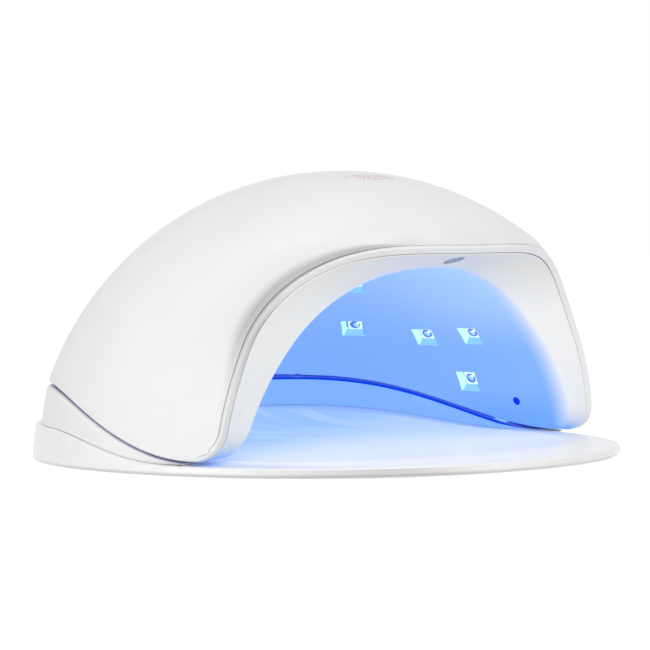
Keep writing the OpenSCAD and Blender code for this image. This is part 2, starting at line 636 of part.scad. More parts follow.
// Power socket: a frame on the dome's rear, its Z straight back
jack_p = [0, crest_back(jack_h), jack_h];
jack_n = dome_normal(jack_p);
jack_mouth = 2.7;
jack_deep = 13;
jack_lip = 0.5;
flange_d = jack_cup_d + 3.4;
flange_t = 1.6;
flange_drop = dome_wall + 0.8;
module at_jack() {
    translate(jack_p) rotate([-90, 0, 0]) children();
}

// Screw that ties the liner to the dome's side, seen as a small round hole in the reflector
liner_hole_x = cav_x(liner_hole_y, liner_hole_z);
module at_liner_screws() {
    both_sides() translate([liner_hole_x, liner_hole_y, liner_hole_z]) rotate([0, 90, 0]) children();
}

module ring_post(s) {
    m = ring_mid(s);
    n = plate_normal(s);
    z0 = m.z + ring_t + ring_slope(s) * post_d / 2 + fit_gap;
    z1 = dome_z(m.x + n.x * post_d / 2, m.y + n.y * post_d / 2) - dome_wall / 2;
    translate([m.x, m.y, z0]) cylinder(d = post_d, h = z1 - z0, $fn = SMOOTH);
}
ring_sink = 1.4;
module at_ring_screws() {
    both_sides() for (s = RING_SCREWS) let (m = ring_mid(s)) translate(m) children();
}

module upper_shell() {
    color(WHITE) difference() {
        union() {
            shell([for (r = dome_out) mirrored(r)], [for (r = dome_in) mirrored(r)], true);
            both_sides() for (s = RING_SCREWS) ring_post(s);
            on_panel() at_board_corners() translate([0, 0, -board_drop + seat_gap])
                cylinder(d = post_d, h = board_drop + panel_z(norm(board_hole) + post_d / 2) - 0.6,
                    $fn = SMOOTH);
            at_liner_screws() translate([0, 0, boss_gap])
                cylinder(d = post_d, h = dome_x(liner_hole_y, liner_hole_z + post_d / 2) - liner_hole_x
                    - boss_gap - dome_wall / 2, $fn = SMOOTH);
        }
        at_ring_screws() cylinder(d = screw_d + 2 * seat_gap, h = ring_t + 10, $fn = SMOOTH);
        on_panel() {
            for (b = BUTTONS) translate([b.x, b.y, -8])
                cylinder(d = button_d + 2 * fit_gap, h = 12, $fn = SMOOTH);
            translate([0, -display_row, -6]) rounded_plate(display_w + fit_gap, display_d + fit_gap, 3, 10);
            at_board_corners() translate([0, 0, -board_drop - 1])
                cylinder(d = 2.2 + seat_gap, h = 6.5, $fn = SMOOTH);
        }
        at_liner_screws() cylinder(d = 1.8 + 2 * seat_gap, h = boss_gap + 7, $fn = SMOOTH);
        at_jack() translate([0, 0, -12]) cylinder(d = jack_cup_d + fit_gap, h = 24, $fn = SMOOTH);
    }
}

module bottom_ring() {
    color(PALE) difference() {
        union() {
            loft(swept([for (s = rear_run(seam_y + 4, crest_back(collar_h + ring_dz))) ring_section(s)]));
            both_sides() for (s = HOLDS) let (m = ring_mid(s)) translate([m.x, m.y, m.z + 0.4])
                cylinder(d = catch_d + 1.8, h = 3.2, $fn = SMOOTH);
        }
        both_sides() for (s = HOLDS) let (m = ring_mid(s)) translate([m.x, m.y, m.z - 3])
            cylinder(d = catch_d + fit_gap, h = 3 + 2.6, $fn = SMOOTH);
        at_ring_screws() {
            translate([0, 0, -2]) cylinder(d = screw_head_d + fit_gap, h = 2 + ring_sink, $fn = SMOOTH);
            cylinder(d = screw_d + fit_gap, h = 8, $fn = SMOOTH);
        }
        both_sides() locating_tab(1.5 * fit_gap);
    }
}

module catch_plates() {
    color(STEEL) both_sides() for (s = HOLDS) let (m = ring_mid(s)) translate([m.x, m.y, m.z + 1.3])
        cylinder(d = catch_d, h = 1.2, $fn = SMOOTH);
}

module ring_screws() {
    color(STEEL) at_ring_screws() translate([0, 0, ring_sink]) screw(ring_t + 7);
}

module liner_screws() {
    color(STEEL) at_liner_screws() translate([0, 0, boss_gap - 1.4]) screw(7.8, 1.8, 3, 1.5);
}

// LED positions: rays from a point low in the cavity, as [azimuth, elevation]
LEDS = [[1.5, 9], [-7, 23.5], [10, 23], [33, 26], [60, 25], [29.5, 46], [75, 47],
    [-60, 68], [-20, 68], [20, 68], [60, 68]];
MID_LEDS = [[90, 36], [-90, 60]];
module at_led(a) {
    d = [cos(a[1]) * cos(a[0]), cos(a[1]) * sin(a[0]), sin(a[1])];
    p = cav_hit([0, 0, 10], d);
    aim(p, cav_normal(p)) children();
}
module at_leds() {
    both_sides() for (a = LEDS) at_led(a) children();
    for (a = MID_LEDS) at_led(a) children();
}
board_back = liner_wall + 1.5 * seat_gap;

module inner_housing() {
    color(BLUE) difference() {
        union() {
            shell(liner_grid, liner_back_grid);
            at_liner_screws() translate([0, 0, 1])
                cylinder(d = post_d, h = boss_gap - seat_gap - 1, $fn = SMOOTH);
        }
        at_leds() translate([-window_s / 2, -window_s / 2, -1.5])
            cube([window_s, window_s, liner_wall + 4]);
        at_liner_screws() {
            translate([0, 0, -1]) cylinder(d = 3.3, h = boss_gap - 0.4, $fn = SMOOTH);
            cylinder(d = 1.8 + fit_gap, h = 8, $fn = SMOOTH);
        }
        at_sensor() translate([0, 0, -2]) cylinder(d = sensor_d + fit_gap, h = 8, $fn = SMOOTH);
    }
}

module led_boards() {
    color(GREEN) at_leds() translate([-led_board_s / 2, -led_board_s / 2, board_back])
        cube([led_board_s, led_board_s, led_board_t]);
}

module led_packages() {
    color(PALE) at_leds() translate([-led_s / 2, -led_s / 2, board_back - led_h])
        cube([led_s, led_s, led_h]);
}

// Each lens is a cap of a ball with its flat side on the package
module led_lenses() {
    lift = board_back - led_h;
    tall = lift - 0.2;
    r = (tall * tall + lens_d * lens_d / 4) / (2 * tall);
    color(BLUE) at_leds() intersection() {
        translate([0, 0, lift - tall + r]) sphere(r = r, $fn = SMOOTH);
        translate([-led_s, -led_s, 0]) cube([2 * led_s, 2 * led_s, lift]);
    }
}

// Hand sensor, in the middle of the arch face above the opening
face_mid = mix(face_col(1)[0], face_col(1)[2], 0.5);
face_dir = unit(face_col(1)[2] - face_col(1)[0]);
module at_sensor() {
    aim(face_mid, [0, -face_dir.z, face_dir.y], 90) children();
}

module sensor_window() {
    color(DARK) at_sensor() cylinder(d = sensor_d, h = sensor_t, $fn = SMOOTH);
}

module hand_sensor() {
    color(GREEN) at_sensor() {
        translate([0, 0, sensor_t + 2 * seat_gap]) cylinder(d = 5, h = 1, $fn = SMOOTH);
        translate([-sensor_board.x / 2, -sensor_board.y / 2, sensor_t + 1]) cube(sensor_board);
    }
}

module control_board() {
    color(GREEN) on_panel() difference() {
        translate([-board_w / 2, -board_d / 2, -board_drop - board_t]) cube([board_w, board_d, board_t]);
        at_board_corners() translate([0, 0, -board_drop - board_t - 1])
            cylinder(d = 2.6, h = board_t + 2, $fn = SMOOTH);
    }
}

module board_screws() {
    color(STEEL) on_panel() at_board_corners() translate([0, 0, -board_drop - board_t - seat_gap])
        screw(board_t + 5, 2.2, 4.4, 1.4);
}

module display_module() {
    top = panel_z(norm([display_w / 2, display_row + display_d / 2])) - 2.8;
    color(DARK) on_panel() translate([0, -display_row, 0]) {
        translate([2 - display_w / 2, 1 - display_d / 2, top - 8]) cube([display_w - 4, display_d - 2, 8]);
        for (y = [-1, 1])
            translate([4 - display_w / 2, y * (display_d / 2 - 3) - 0.4, -board_drop + seat_gap])
                cube([display_w - 8, 0.8, board_drop + top - 8]);
    }
}

module display_window() {
    color(DARK) on_panel() intersection() {
        translate([0, -display_row, -8]) rounded_plate(display_w, display_d, 3 - fit_gap / 2, 12);
        difference() {
            panel_ball(0);
            panel_ball(-2.2);
        }
    }
}

// Tactile switches on the board, each with a plunger that reaches into its button's stem
switch_h = 3.5;
plunger_h = 1.4;
module key_switches() {
    color(DARK) on_panel() for (b = BUTTONS) translate([b.x, b.y, -board_drop + seat_gap / 2]) {
        translate([-3, -3, 0]) cube([6, 6, switch_h]);
        translate([0, 0, switch_h]) cylinder(d = 3, h = plunger_h - seat_gap / 2, $fn = SMOOTH);
    }
}

// A timer button: a cap flush in its hole, a flange under the dome's wall and a stem to the switch
module timer_button(i) {
    b = BUTTONS[i];
    flange_r = button_d / 2 + 1.2;
    stem_z = -board_drop + switch_h + button_travel + fit_gap;
    flange_z = panel_z(norm(b) + flange_r) - dome_wall * 1.06 - fit_gap;
    color(PINK) on_panel() difference() {
        union() {
            intersection() {
                translate([b.x, b.y, flange_z - 1]) cylinder(d = button_d, h = 12, $fn = SMOOTH);
                panel_ball(button_proud);
            }
            translate([b.x, b.y, flange_z - 1.2]) cylinder(r = flange_r, h = 1.2, $fn = SMOOTH);
            translate([b.x, b.y, stem_z]) cylinder(d = 6.4, h = flange_z - stem_z, $fn = SMOOTH);
        }
        translate([b.x, b.y, stem_z - 1]) cylinder(d = 3 + 2 * fit_gap,
            h = 1 + plunger_h, $fn = SMOOTH);
    }
}
module button_10s() timer_button(0);
module button_30s() timer_button(1);
module button_60s() timer_button(2);
module button_99s() timer_button(3);

module socket_surround() {
    color(DARK) difference() {
        union() {
            intersection() {
                at_jack() translate([0, 0, -jack_deep])
                    cylinder(d = jack_cup_d, h = 1.5 * jack_deep, $fn = SMOOTH);
                aim(jack_p + jack_n * jack_lip, jack_n) translate([0, 0, -3 * jack_deep])
                    cylinder(r = 3 * jack_cup_d, h = 3 * jack_deep, $fn = SMOOTH);
            }
            aim(jack_p - jack_n * (flange_drop + flange_t), jack_n)
                cylinder(d = flange_d, h = flange_t, $fn = SMOOTH);
        }
        at_jack() {
            translate([0, 0, -jack_mouth]) cylinder(d = jack_cup_d - 4, h = 12, $fn = SMOOTH);
            translate([0, 0, -jack_deep - 1])
                cylinder(d = jack_d + fit_gap, h = jack_deep, $fn = SMOOTH);
        }
    }
}

module socket_barrel() {
    color(DARK) at_jack() translate([0, 0, -jack_mouth - jack_l]) difference() {
        cylinder(d = jack_d, h = jack_l, $fn = SMOOTH);
        translate([0, 0, jack_l - jack_pin_l - 0.6])
            cylinder(d = jack_bore, h = jack_pin_l + 1, $fn = SMOOTH);
        translate([0, 0, -1]) cylinder(d = 1.6 + seat_gap, h = jack_l, $fn = SMOOTH);
    }
}

module socket_pin() {
    color(STEEL) at_jack() translate([0, 0, -jack_mouth - jack_pin_l - 0.6 + seat_gap / 2]) {
        cylinder(d = jack_pin_d, h = jack_pin_l, $fn = SMOOTH);
        translate([0, 0, -5]) cylinder(d = 1.6, h = 5, $fn = SMOOTH);
    }
}

base_tray();
base_collar();
tray_feet();
collar_screws();
base_magnets();
upper_shell();
inner_housing();
bottom_ring();
ring_screws();
catch_plates();
liner_screws();
led_boards();
led_packages();
led_lenses();
sensor_window();
hand_sensor();
control_board();
board_screws();
display_module();
display_window();
key_switches();
button_10s();
button_30s();
button_60s();
button_99s();
socket_surround();
socket_barrel();
socket_pin();
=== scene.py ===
import math

import bmesh
import bpy
import numpy as np
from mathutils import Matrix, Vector
from mathutils.kdtree import KDTree

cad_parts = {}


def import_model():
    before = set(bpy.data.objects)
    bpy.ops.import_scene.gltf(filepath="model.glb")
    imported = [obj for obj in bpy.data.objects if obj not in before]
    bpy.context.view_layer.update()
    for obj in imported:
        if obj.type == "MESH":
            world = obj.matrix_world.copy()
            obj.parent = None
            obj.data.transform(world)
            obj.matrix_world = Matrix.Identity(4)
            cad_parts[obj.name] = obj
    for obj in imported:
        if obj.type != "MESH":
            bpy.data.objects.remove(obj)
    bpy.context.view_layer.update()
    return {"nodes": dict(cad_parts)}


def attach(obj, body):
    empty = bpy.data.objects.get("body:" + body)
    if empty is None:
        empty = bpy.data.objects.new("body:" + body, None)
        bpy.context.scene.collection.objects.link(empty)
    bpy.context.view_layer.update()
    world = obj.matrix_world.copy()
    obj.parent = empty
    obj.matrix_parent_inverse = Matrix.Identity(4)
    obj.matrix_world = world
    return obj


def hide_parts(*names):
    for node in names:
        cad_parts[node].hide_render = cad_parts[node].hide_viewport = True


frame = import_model()
nodes = frame["nodes"]

# The lamp's shape, in millimetres, from the same rules as the part's source.
GAP, WALL, FIT = 1.2, 3.0, 0.3
HALF_W, HALF_D, PLATE_Z, PLATE_N = 116.0, 105.25, 0.8, 2.1
EDGE_H, FLOOR_H, RIM_H, COVE_H, COVE_W, DRAFT = 3.8, 5.2, 13.5, 13.4, 28.0, 0.11
SEAM_Y, CORNER_R, LEG_Y, LEAN_H, LIP_Y, MOUTH_Y = -33.0, 12.0, -46.0, 46.0, -71.5, -51.5
BASE_Z, HEAD_H, CEIL_H = 3.0, 108.0, 76.0
LINER, MOUTH_R = 2.2, 2.5
# The crest's and the ceiling's arcs: y of the highest point, reach behind it and reach ahead of it.
CREST, CEIL, ARC_N = (-6.5, 105.5, 93.5), (-12.0, 95.9, 105.0), 2.1
# Heights of the seams at the rear, outside and inside, and the furthest that the cavity reaches back.
SEAM_REAR, SEAM_IN_REAR, CAV_REAR = 28.5, 25.3, 81.0
MM = 0.001


def mix(a, b, t):
    return a + (b - a) * t


def ease(t):
    return (1 - np.cos(np.pi * np.clip(t, 0, 1))) / 2


def quarter(t, n):
    return np.maximum(0, 1 - np.minimum(np.abs(t), 1) ** n) ** (1 / n)


def unit(v):
    return v / np.maximum(np.linalg.norm(v, axis=-1, keepdims=True), 1e-9)


def seam_z(y):
    return 5.0 + 23.5 * ease((y + 32) / 92)


def seam_in_z(y):
    return 5.5 + 19.8 * ease((y + 35) / 105)


def rim_z(y):
    return EDGE_H + (RIM_H - EDGE_H) * ease((y + 22) / 70)


def cove_z(y):
    return FLOOR_H + (COVE_H - FLOOR_H) * ease((y + 15) / 95)


def dome_half(y):
    return 114 * quarter((y + 1) / np.where(y > -1, 103.0, 147.0), 2.2)


def arc_z(y, arc, top):
    mid, behind, ahead = arc
    return BASE_Z + (top - BASE_Z) * quarter((y - mid) / np.where(y > mid, behind, ahead), ARC_N)


def crest_z(y):
    return arc_z(y, CREST, HEAD_H)


def ceil_z(y):
    return arc_z(y, CEIL, CEIL_H)


def sec(y):
    s = np.clip(-y / 68, 0, 1.1)
    return 2 + 0.3 * s, 1.78 + 0.1 * s


def dome_x(y, z):
    p, q = sec(y)
    u = np.clip((z - BASE_Z) / np.maximum(crest_z(y) - BASE_Z, 0.01), 0, 1)
    return dome_half(y) * (1 - u ** q) ** (1 / p)


def dome_level(v):
    x, y, z = v[..., 0], v[..., 1], v[..., 2]
    p, q = sec(y)
    return (np.abs(x) / dome_half(y)) ** p + (np.maximum(z - BASE_Z, 0) / (crest_z(y) - BASE_Z)) ** q


def cav_half(y):
    return 96.3 * quarter(np.maximum(0, y + 20) / 101.0, 3)


def cav_x(y, z):
    u = np.clip((z - BASE_Z) / np.maximum(ceil_z(y) - BASE_Z, 0.01), 0, 1)
    return cav_half(y) * (1 - u ** 1.58) ** 0.5


def cav_level(v):
    x, y, z = v[..., 0], v[..., 1], v[..., 2]
    inside = y < CAV_REAR - 0.1
    y = np.minimum(y, CAV_REAR - 0.1)
    up = np.maximum(z - BASE_Z, 0) / np.maximum(ceil_z(y) - BASE_Z, 0.01)
    return np.where(inside, (np.abs(x) / cav_half(y)) ** 2 + up ** 1.58, 9.0)


def level_out(n, rise=0.0):
    """Unit directions of n, with only a share of their rise."""
    n = np.array(n)
    n[..., 2] *= rise
    return unit(n)


def slope(level, v, e=0.05):
    return np.stack([level(v + e * a) - level(v - e * a) for a in np.eye(3)], -1) / (2 * e)


def gradient(level, v):
    return unit(slope(level, v))


def arc_y(a, arc):
    mid, behind, ahead = arc
    return mid + np.where(a > 0, behind, ahead) * np.sign(a) * np.abs(np.sin(np.radians(a))) ** (2 / ARC_N)


def front_angle(y, arc):
    return -math.degrees(math.asin(((arc[0] - y) / arc[2]) ** (ARC_N / 2)))


def rear_angle(z, top):
    return math.degrees(math.acos(((z - BASE_Z) / (top - BASE_Z)) ** (ARC_N / 2)))


def crest_back(z):
    return float(arc_y(rear_angle(z, HEAD_H), CREST))


def ceil_back(z):
    return min(float(arc_y(rear_angle(z, CEIL_H), CEIL)), CAV_REAR)


def on_wall(t, width, y, z):
    """Points of a wall at (y, z), on the middle plane where t reaches 1."""
    return np.stack([np.where(t >= 1, 0, width(y, z)), y, z], -1)


HEAD_Z = float(seam_z(SEAM_Y)) + GAP / 2
HEAD_IN_Z = float(seam_in_z(SEAM_Y)) + GAP / 2
LIP_TIP = (LIP_Y, float(crest_z(LIP_Y)))
MOUTH_TIP = (MOUTH_Y, float(ceil_z(MOUTH_Y)))


def front_end(t):
    return 1 - (1 - t) ** 2


def lip_at(t):
    return mix(3.6, 5.2, t * t)


def corner_pt(t, z0):
    a = np.pi / 2 * t
    return SEAM_Y - CORNER_R * np.sin(a), z0 + CORNER_R * (1 - np.cos(a))


def leg_pt(t, z0, y_leg, tip):
    a = np.pi / 2 * np.clip(t / 0.3, 0, 1)
    b = np.pi / 2 * np.clip((t - 0.3) / 0.7, 0, 1)
    y = SEAM_Y - CORNER_R + (y_leg - SEAM_Y + CORNER_R) * np.sin(a) + (tip[0] - y_leg) * (1 - np.cos(b))
    z = z0 + CORNER_R + (LEAN_H - z0 - CORNER_R) * a / (np.pi / 2) + (tip[1] - LEAN_H) * np.sin(b)
    return y, z


def edge_rib(t, start, part, z0, y_leg, tip):
    ya, za = corner_pt(mix(start, 1, np.minimum(t / part, 1)), z0)
    yb, zb = leg_pt(front_end(np.clip((t - part) / (1 - part), 0, 1)), z0, y_leg, tip)
    return np.where(t < part, ya, yb), np.where(t < part, za, zb)


def share(y, z, y0, z0, y1, top):
    u0 = (z0 - BASE_Z) / (top(np.float64(y0)) - BASE_Z)
    u = (z - BASE_Z) / (top(y) - BASE_Z)
    return (y - y0) / (y1 - y0), (u - u0) / (1 - u0)


def fan(v, foot, tip_y, front, rear, top):
    """Points (y, z) of ribs v, their shape mixed from the front and the rear shares."""
    y = mix(foot[0], tip_y, mix(front[0], rear[0], v))
    u = (foot[1] - BASE_Z) / (top(foot[0]) - BASE_Z)
    return y, BASE_Z + mix(u, 1, mix(front[1], rear[1], v)) * (top(y) - BASE_Z)


def rib_grid(v, t, foot, edge, edge_foot, tip_y, seam, rear_y, rear_z, surface):
    """Points of ribs between the front edge and the rear seam, of the dome or of the cavity."""
    arc, top_z, top, width = surface
    rear_a = rear_angle(rear_z + GAP / 2, top_z)
    end_y = float(arc_y(rear_a, arc))
    yr = mix(rear_y, end_y, front_end(t))
    front = share(*edge, *edge_foot, tip_y, top)
    rear = share(yr, seam(yr) + GAP / 2, rear_y, float(seam(rear_y)) + GAP / 2, end_y, top)
    y, z = fan(v, foot, arc_y(mix(front_angle(tip_y, arc), rear_a, v), arc), front, rear, top)
    return on_wall(t, width, y, z)


def dome_grid(v, t):
    rear_y, turn = 78.0, 0.2
    corner = corner_pt(0.5 * (1 - np.clip(v / turn, 0, 1)), HEAD_Z)
    ys = mix(SEAM_Y, rear_y, np.clip((v - turn) / (1 - turn), 0, 1))
    foot = np.where(v < turn, corner[0], ys), np.where(v < turn, corner[1], seam_z(ys) + GAP / 2)
    edge = edge_rib(t, 0.5, 0.12, HEAD_Z, LEG_Y, LIP_TIP)
    return rib_grid(v, t, foot, edge, corner_pt(0.5, HEAD_Z), LIP_Y, seam_z, rear_y, SEAM_REAR,
                    (CREST, HEAD_H, crest_z, dome_x))


def cav_grid(v, t):
    rear_y = 66.0
    ys = mix(SEAM_Y, rear_y, v)
    edge = edge_rib(t, 0, 0.2, HEAD_IN_Z, LEG_Y + 0.5, MOUTH_TIP)
    foot = ys, seam_in_z(ys) + GAP / 2
    return rib_grid(v, t, foot, edge, (SEAM_Y, HEAD_IN_Z), MOUTH_Y, seam_in_z, rear_y, SEAM_IN_REAR,
                    (CEIL, CEIL_H, ceil_z, cav_x))


def both(g):
    """A right-hand grid, foot to crest, mirrored into a whole one, left foot to right foot."""
    left = g * np.array([-1, 1, 1])
    return np.concatenate([left, g[:, -2::-1]], 1)


# Meshes.
def grid_quads(rows, cols, start=0, flip=False):
    i, j = np.meshgrid(np.arange(rows - 1), np.arange(cols - 1), indexing="ij")
    a = (start + i * cols + j).ravel()
    q = np.stack([a, a + 1, a + cols + 1, a + cols], 1)
    return q[:, ::-1] if flip else q


def loop_quads(a, b, flip=False):
    """Quads between two closed loops of vertex numbers, with repeated numbers dropped."""
    faces = []
    for k in range(len(a)):
        m = (k + 1) % len(a)
        q = list(dict.fromkeys((a[k], a[m], b[m], b[k])))
        faces.append(q[::-1] if flip else q)
    return faces


def shell(front, sets, back, edge, rows, cols):
    """A closed mesh of a grid, loops of points that lead round from its edge, and the grid's back."""
    m, start = len(edge), rows * cols
    base = start + len(sets) * m
    loops = [edge] + [start + k * m + np.arange(m) for k in range(len(sets))] + [base + edge]
    faces = grid_quads(rows, cols).tolist()
    for a, b in zip(loops[:-1], loops[1:]):
        faces += loop_quads(a, b, True)
    faces += grid_quads(rows, cols, base, True).tolist()
    return np.concatenate([front] + sets + [back]), faces


def border(rows, cols):
    """The numbers of a grid's edge points, in a loop."""
    top = np.arange(cols)
    right = np.arange(1, rows) * cols + cols - 1
    low = (rows - 1) * cols + np.arange(cols - 2, -1, -1)
    left = np.arange(rows - 2, 0, -1) * cols
    return np.concatenate([top, right, low, left])


def area_normals(verts, faces):
    """Vertex normals weighted by face area, so that fillets leave their flat neighbours flat."""
    n = np.zeros_like(verts)
    for size in (3, 4):
        f = np.array([x for x in faces if len(x) == size], dtype=int)
        if len(f):
            c = np.cross(verts[f[:, 2]] - verts[f[:, 0]], verts[f[:, -1]] - verts[f[:, 1]])
            for k in range(size):
                np.add.at(n, f[:, k], c)
    return unit(n)


def make(name, verts, faces, mats, normals=None, index=None, body=None, nodes_for=(), slot=None):
    """A mesh object from points in millimetres."""
    mesh = bpy.data.meshes.new(name)
    mesh.from_pydata((np.asarray(verts) * MM).tolist(), [], [list(map(int, f)) for f in faces])
    for m in mats:
        mesh.materials.append(m)
    mesh.polygons.foreach_set("use_smooth", [True] * len(mesh.polygons))
    if index is not None:
        mesh.polygons.foreach_set("material_index", list(map(int, index)))
    if normals is not None:
        mesh.normals_split_custom_set_from_vertices(np.asarray(normals).tolist())
    obj = bpy.data.objects.new(name, mesh)
    bpy.context.scene.collection.objects.link(obj)
    if body:
        place(obj, body, nodes_for)
    return obj


def detail(name, mesh, mats, body, slot, nodes_for=(), index=None):
    """A closed mesh that rides with a body, shaded by the areas of its faces."""
    make(name, *mesh, mats, area_normals(*mesh), index, body, nodes_for, slot)


def place(obj, body, nodes_for=()):
    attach(obj, body)
    if nodes_for:
        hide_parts(*nodes_for)


def join_parts(parts):
    """One list of points and faces from several (points, faces) pairs."""
    verts, faces, start = [], [], 0
    for v, f in parts:
        verts.append(np.asarray(v))
        faces += [[start + i for i in q] for q in f]
        start += len(v)
    return np.concatenate(verts), faces


def project(p, level, steps=4):
    for _ in range(steps):
        g = slope(level, p)
        p = p - g * ((level(p) - 1) / np.maximum((g * g).sum(-1), 1e-12))[..., None]
    return p


def column(items, name, width=1, kind=float):
    """One attribute of all items, as an array."""
    out = np.empty(len(items) * width, dtype=kind)
    items.foreach_get(name, out)
    return out.reshape(-1, width) if width > 1 else out


def carve(obj, cutters, keep_from):
    """Cuts closed meshes out of obj and gives what is left of its surface the normals it had."""
    tree = KDTree(len(obj.data.vertices))
    for i, c in enumerate(column(obj.data.vertices, "co", 3)):
        tree.insert(c, i)
    tree.balance()
    mod = obj.modifiers.new("cut", "BOOLEAN")
    mod.operation, mod.solver, mod.object = "DIFFERENCE", "EXACT", cutters
    cutters.hide_render = True
    deps = bpy.context.evaluated_depsgraph_get()
    new = bpy.data.meshes.new_from_object(obj.evaluated_get(deps))
    obj.modifiers.remove(mod)
    near = np.array([tree.find(c)[1] for c in column(new.vertices, "co", 3)])
    fn = column(new.polygons, "normal", 3)
    lv = column(new.loops, "vertex_index", kind=int)
    totals = column(new.polygons, "loop_total", kind=int)
    lf = np.repeat(np.arange(len(totals)), totals)
    want = keep_from[near[lv]]
    face = fn[lf]
    fits = (want * face).sum(-1) > 0.86
    out = np.where(fits[:, None], want, face)
    new.polygons.foreach_set("use_smooth", [True] * len(new.polygons))
    new.normals_split_custom_set(out.tolist())
    new.name = obj.name
    obj.data = new
    bpy.data.objects.remove(cutters)


# Plates and lofts of the base.
STATION_R, STATION_F = 84, 40
LAND = 20.0
FRONT_S = -np.arange(1, STATION_F + 1) / STATION_F
S_ALL = np.concatenate([np.arange(STATION_R, -1, -1) / STATION_R, FRONT_S])


def st_y(s, rear):
    return np.where(s >= 0, mix(SEAM_Y, rear, front_end(s)), mix(SEAM_Y, -HALF_D, np.sin(-np.pi / 2 * s)))


def st_at(y, rear):
    return 1 - math.sqrt(1 - (y - SEAM_Y) / (rear - SEAM_Y))


def plate_pt(s):
    y = st_y(s, HALF_D)
    return np.stack([np.where(np.abs(s) == 1, 0, HALF_W * quarter(y / HALF_D, PLATE_N)), y], -1)


def plate_normal(s):
    p = plate_pt(s) / [HALF_W, HALF_D]
    return unit(np.sign(p) * np.abs(p) ** (PLATE_N - 1) / [HALF_W, HALF_D])


def plate_inset(s, d, z):
    p = plate_pt(s) - plate_normal(s) * np.asarray(d)[..., None]
    return np.concatenate([p, np.broadcast_to(np.asarray(z, float), p.shape[:1])[:, None]], -1)


def rim_of(s):
    z = rim_z(st_y(s, HALF_D))
    return plate_inset(s, DRAFT * (z - PLATE_Z - 1) + 1, z)


def cove_of(s):
    y = st_y(s, ceil_back(COVE_H))
    rear = on_wall(s, cav_x, y, cove_z(y))
    a = np.pi / 2 * np.minimum(s, 0)
    x0 = float(cav_x(np.float64(SEAM_Y), FLOOR_H))
    front = np.stack([x0 * np.cos(a), SEAM_Y + (HALF_D + SEAM_Y - LAND) * np.sin(a),
                      np.full_like(s, FLOOR_H)], -1)
    return np.where((s >= 0)[:, None], rear, front)


def whole(a, b):
    """The values round a loop from those of its two halves, which run the same way."""
    return np.concatenate([a, b[-2:0:-1]])


def loft_faces(n, m):
    """Quads between n closed rings of m points each."""
    faces = []
    for i in range(n - 1):
        a = i * m + np.arange(m)
        b = i * m + (np.arange(m) + 1) % m
        faces += np.stack([a, a + m, b + m, b], 1).tolist()
    return faces


def capped_loft(n, m):
    """Quads between n closed rings of m points each, and a cap on either end."""
    return loft_faces(n, m) + [list(range(m))[::-1], list(range((n - 1) * m, n * m))]


def at_level(outline2, z):
    return np.column_stack([outline2, np.full(len(outline2), z)])


def dome_at(s, dz):
    y = st_y(s, crest_back(SEAM_REAR + dz))
    return on_wall(s, dome_x, y, seam_z(y) + dz)


def cav_at(s, dz):
    y = st_y(s, ceil_back(SEAM_IN_REAR + dz))
    return on_wall(s, cav_x, y, seam_in_z(y) + dz)




def rounded(points, radii, n):
    """Sections (k, 3) per station with their corners rounded: points is (stations, corners, 3)."""
    out = []
    count = points.shape[1]
    for c in range(count):
        p, a, b = points[:, c], points[:, c - 1], points[:, (c + 1) % count]
        la = np.linalg.norm(a - p, axis=1)
        lb = np.linalg.norm(b - p, axis=1)
        r = np.minimum(radii[c], 0.45 * np.minimum(la, lb))[:, None]
        pa, pb = p + unit(a - p) * r, p + unit(b - p) * r
        t = np.linspace(0, 1, n)[None, :, None]
        k = 0.45
        q = ((1 - t) ** 3 * pa[:, None] + 3 * (1 - t) ** 2 * t * mix(p, pa, k)[:, None]
             + 3 * (1 - t) * t ** 2 * mix(p, pb, k)[:, None] + t ** 3 * pb[:, None])
        out.append(q)
    return np.concatenate(out, 1)


def sweep_loft(section):
    """Verts and faces of a closed section swept round the rear from front tip to front tip."""
    rings = np.concatenate([section, section[-2::-1] * [-1, 1, 1]])
    return rings.reshape(-1, 3), [f[::-1] for f in capped_loft(*rings.shape[:2])]


def outward(verts, faces):
    """The faces turned so that the closed mesh has a positive volume."""
    vol = 0.0
    for f in faces:
        a = verts[f[0]]
        for i in range(1, len(f) - 1):
            vol += np.dot(a, np.cross(verts[f[i]], verts[f[i + 1]]))
    return faces if vol > 0 else [f[::-1] for f in faces]


def tidy_caps(verts, faces):
    """Many-sided faces cut into triangles round their middle."""
    out, extra = [], []
    for f in faces:
        if len(f) <= 4:
            out.append(f)
            continue
        mid = len(verts) + len(extra)
        extra.append(verts[f].mean(0))
        out += [[f[i], f[(i + 1) % len(f)], mid] for i in range(len(f))]
    return (np.concatenate([verts, extra]) if extra else verts), out


# Materials.
def mat(name):
    m = bpy.data.materials.new(name)
    m.use_nodes = True
    return m, m.node_tree.nodes["Principled BSDF"]


def node(m, kind, inputs=(), **props):
    n = m.node_tree.nodes.new("ShaderNode" + kind)
    for k, v in props.items():
        setattr(n, k, v)
    for k, v in dict(inputs).items():
        wire(m, v, n.inputs[k])
    return n


def wire(m, value, socket):
    value = value.socket if isinstance(value, Field) else value
    if isinstance(value, bpy.types.NodeSocket):
        m.node_tree.links.new(value, socket)
    else:
        socket.default_value = value


class Field:
    """A value in a material's node tree. Its arithmetic adds Math nodes."""

    def __init__(self, m, socket):
        self.m, self.socket = m, socket

    def math(self, op, other=0.0, clamp=False):
        n = node(self.m, "Math", {0: self, 1: other}, operation=op, use_clamp=clamp)
        return Field(self.m, n.outputs[0])

    def __add__(self, other):
        return self.math("ADD", other)

    def __sub__(self, other):
        return self.math("SUBTRACT", other)

    def __mul__(self, other):
        return self.math("MULTIPLY", other)

    def __truediv__(self, other):
        return self.math("DIVIDE", other)

    def __pow__(self, other):
        return self.math("POWER", other)

    def __abs__(self):
        return self.math("ABSOLUTE")


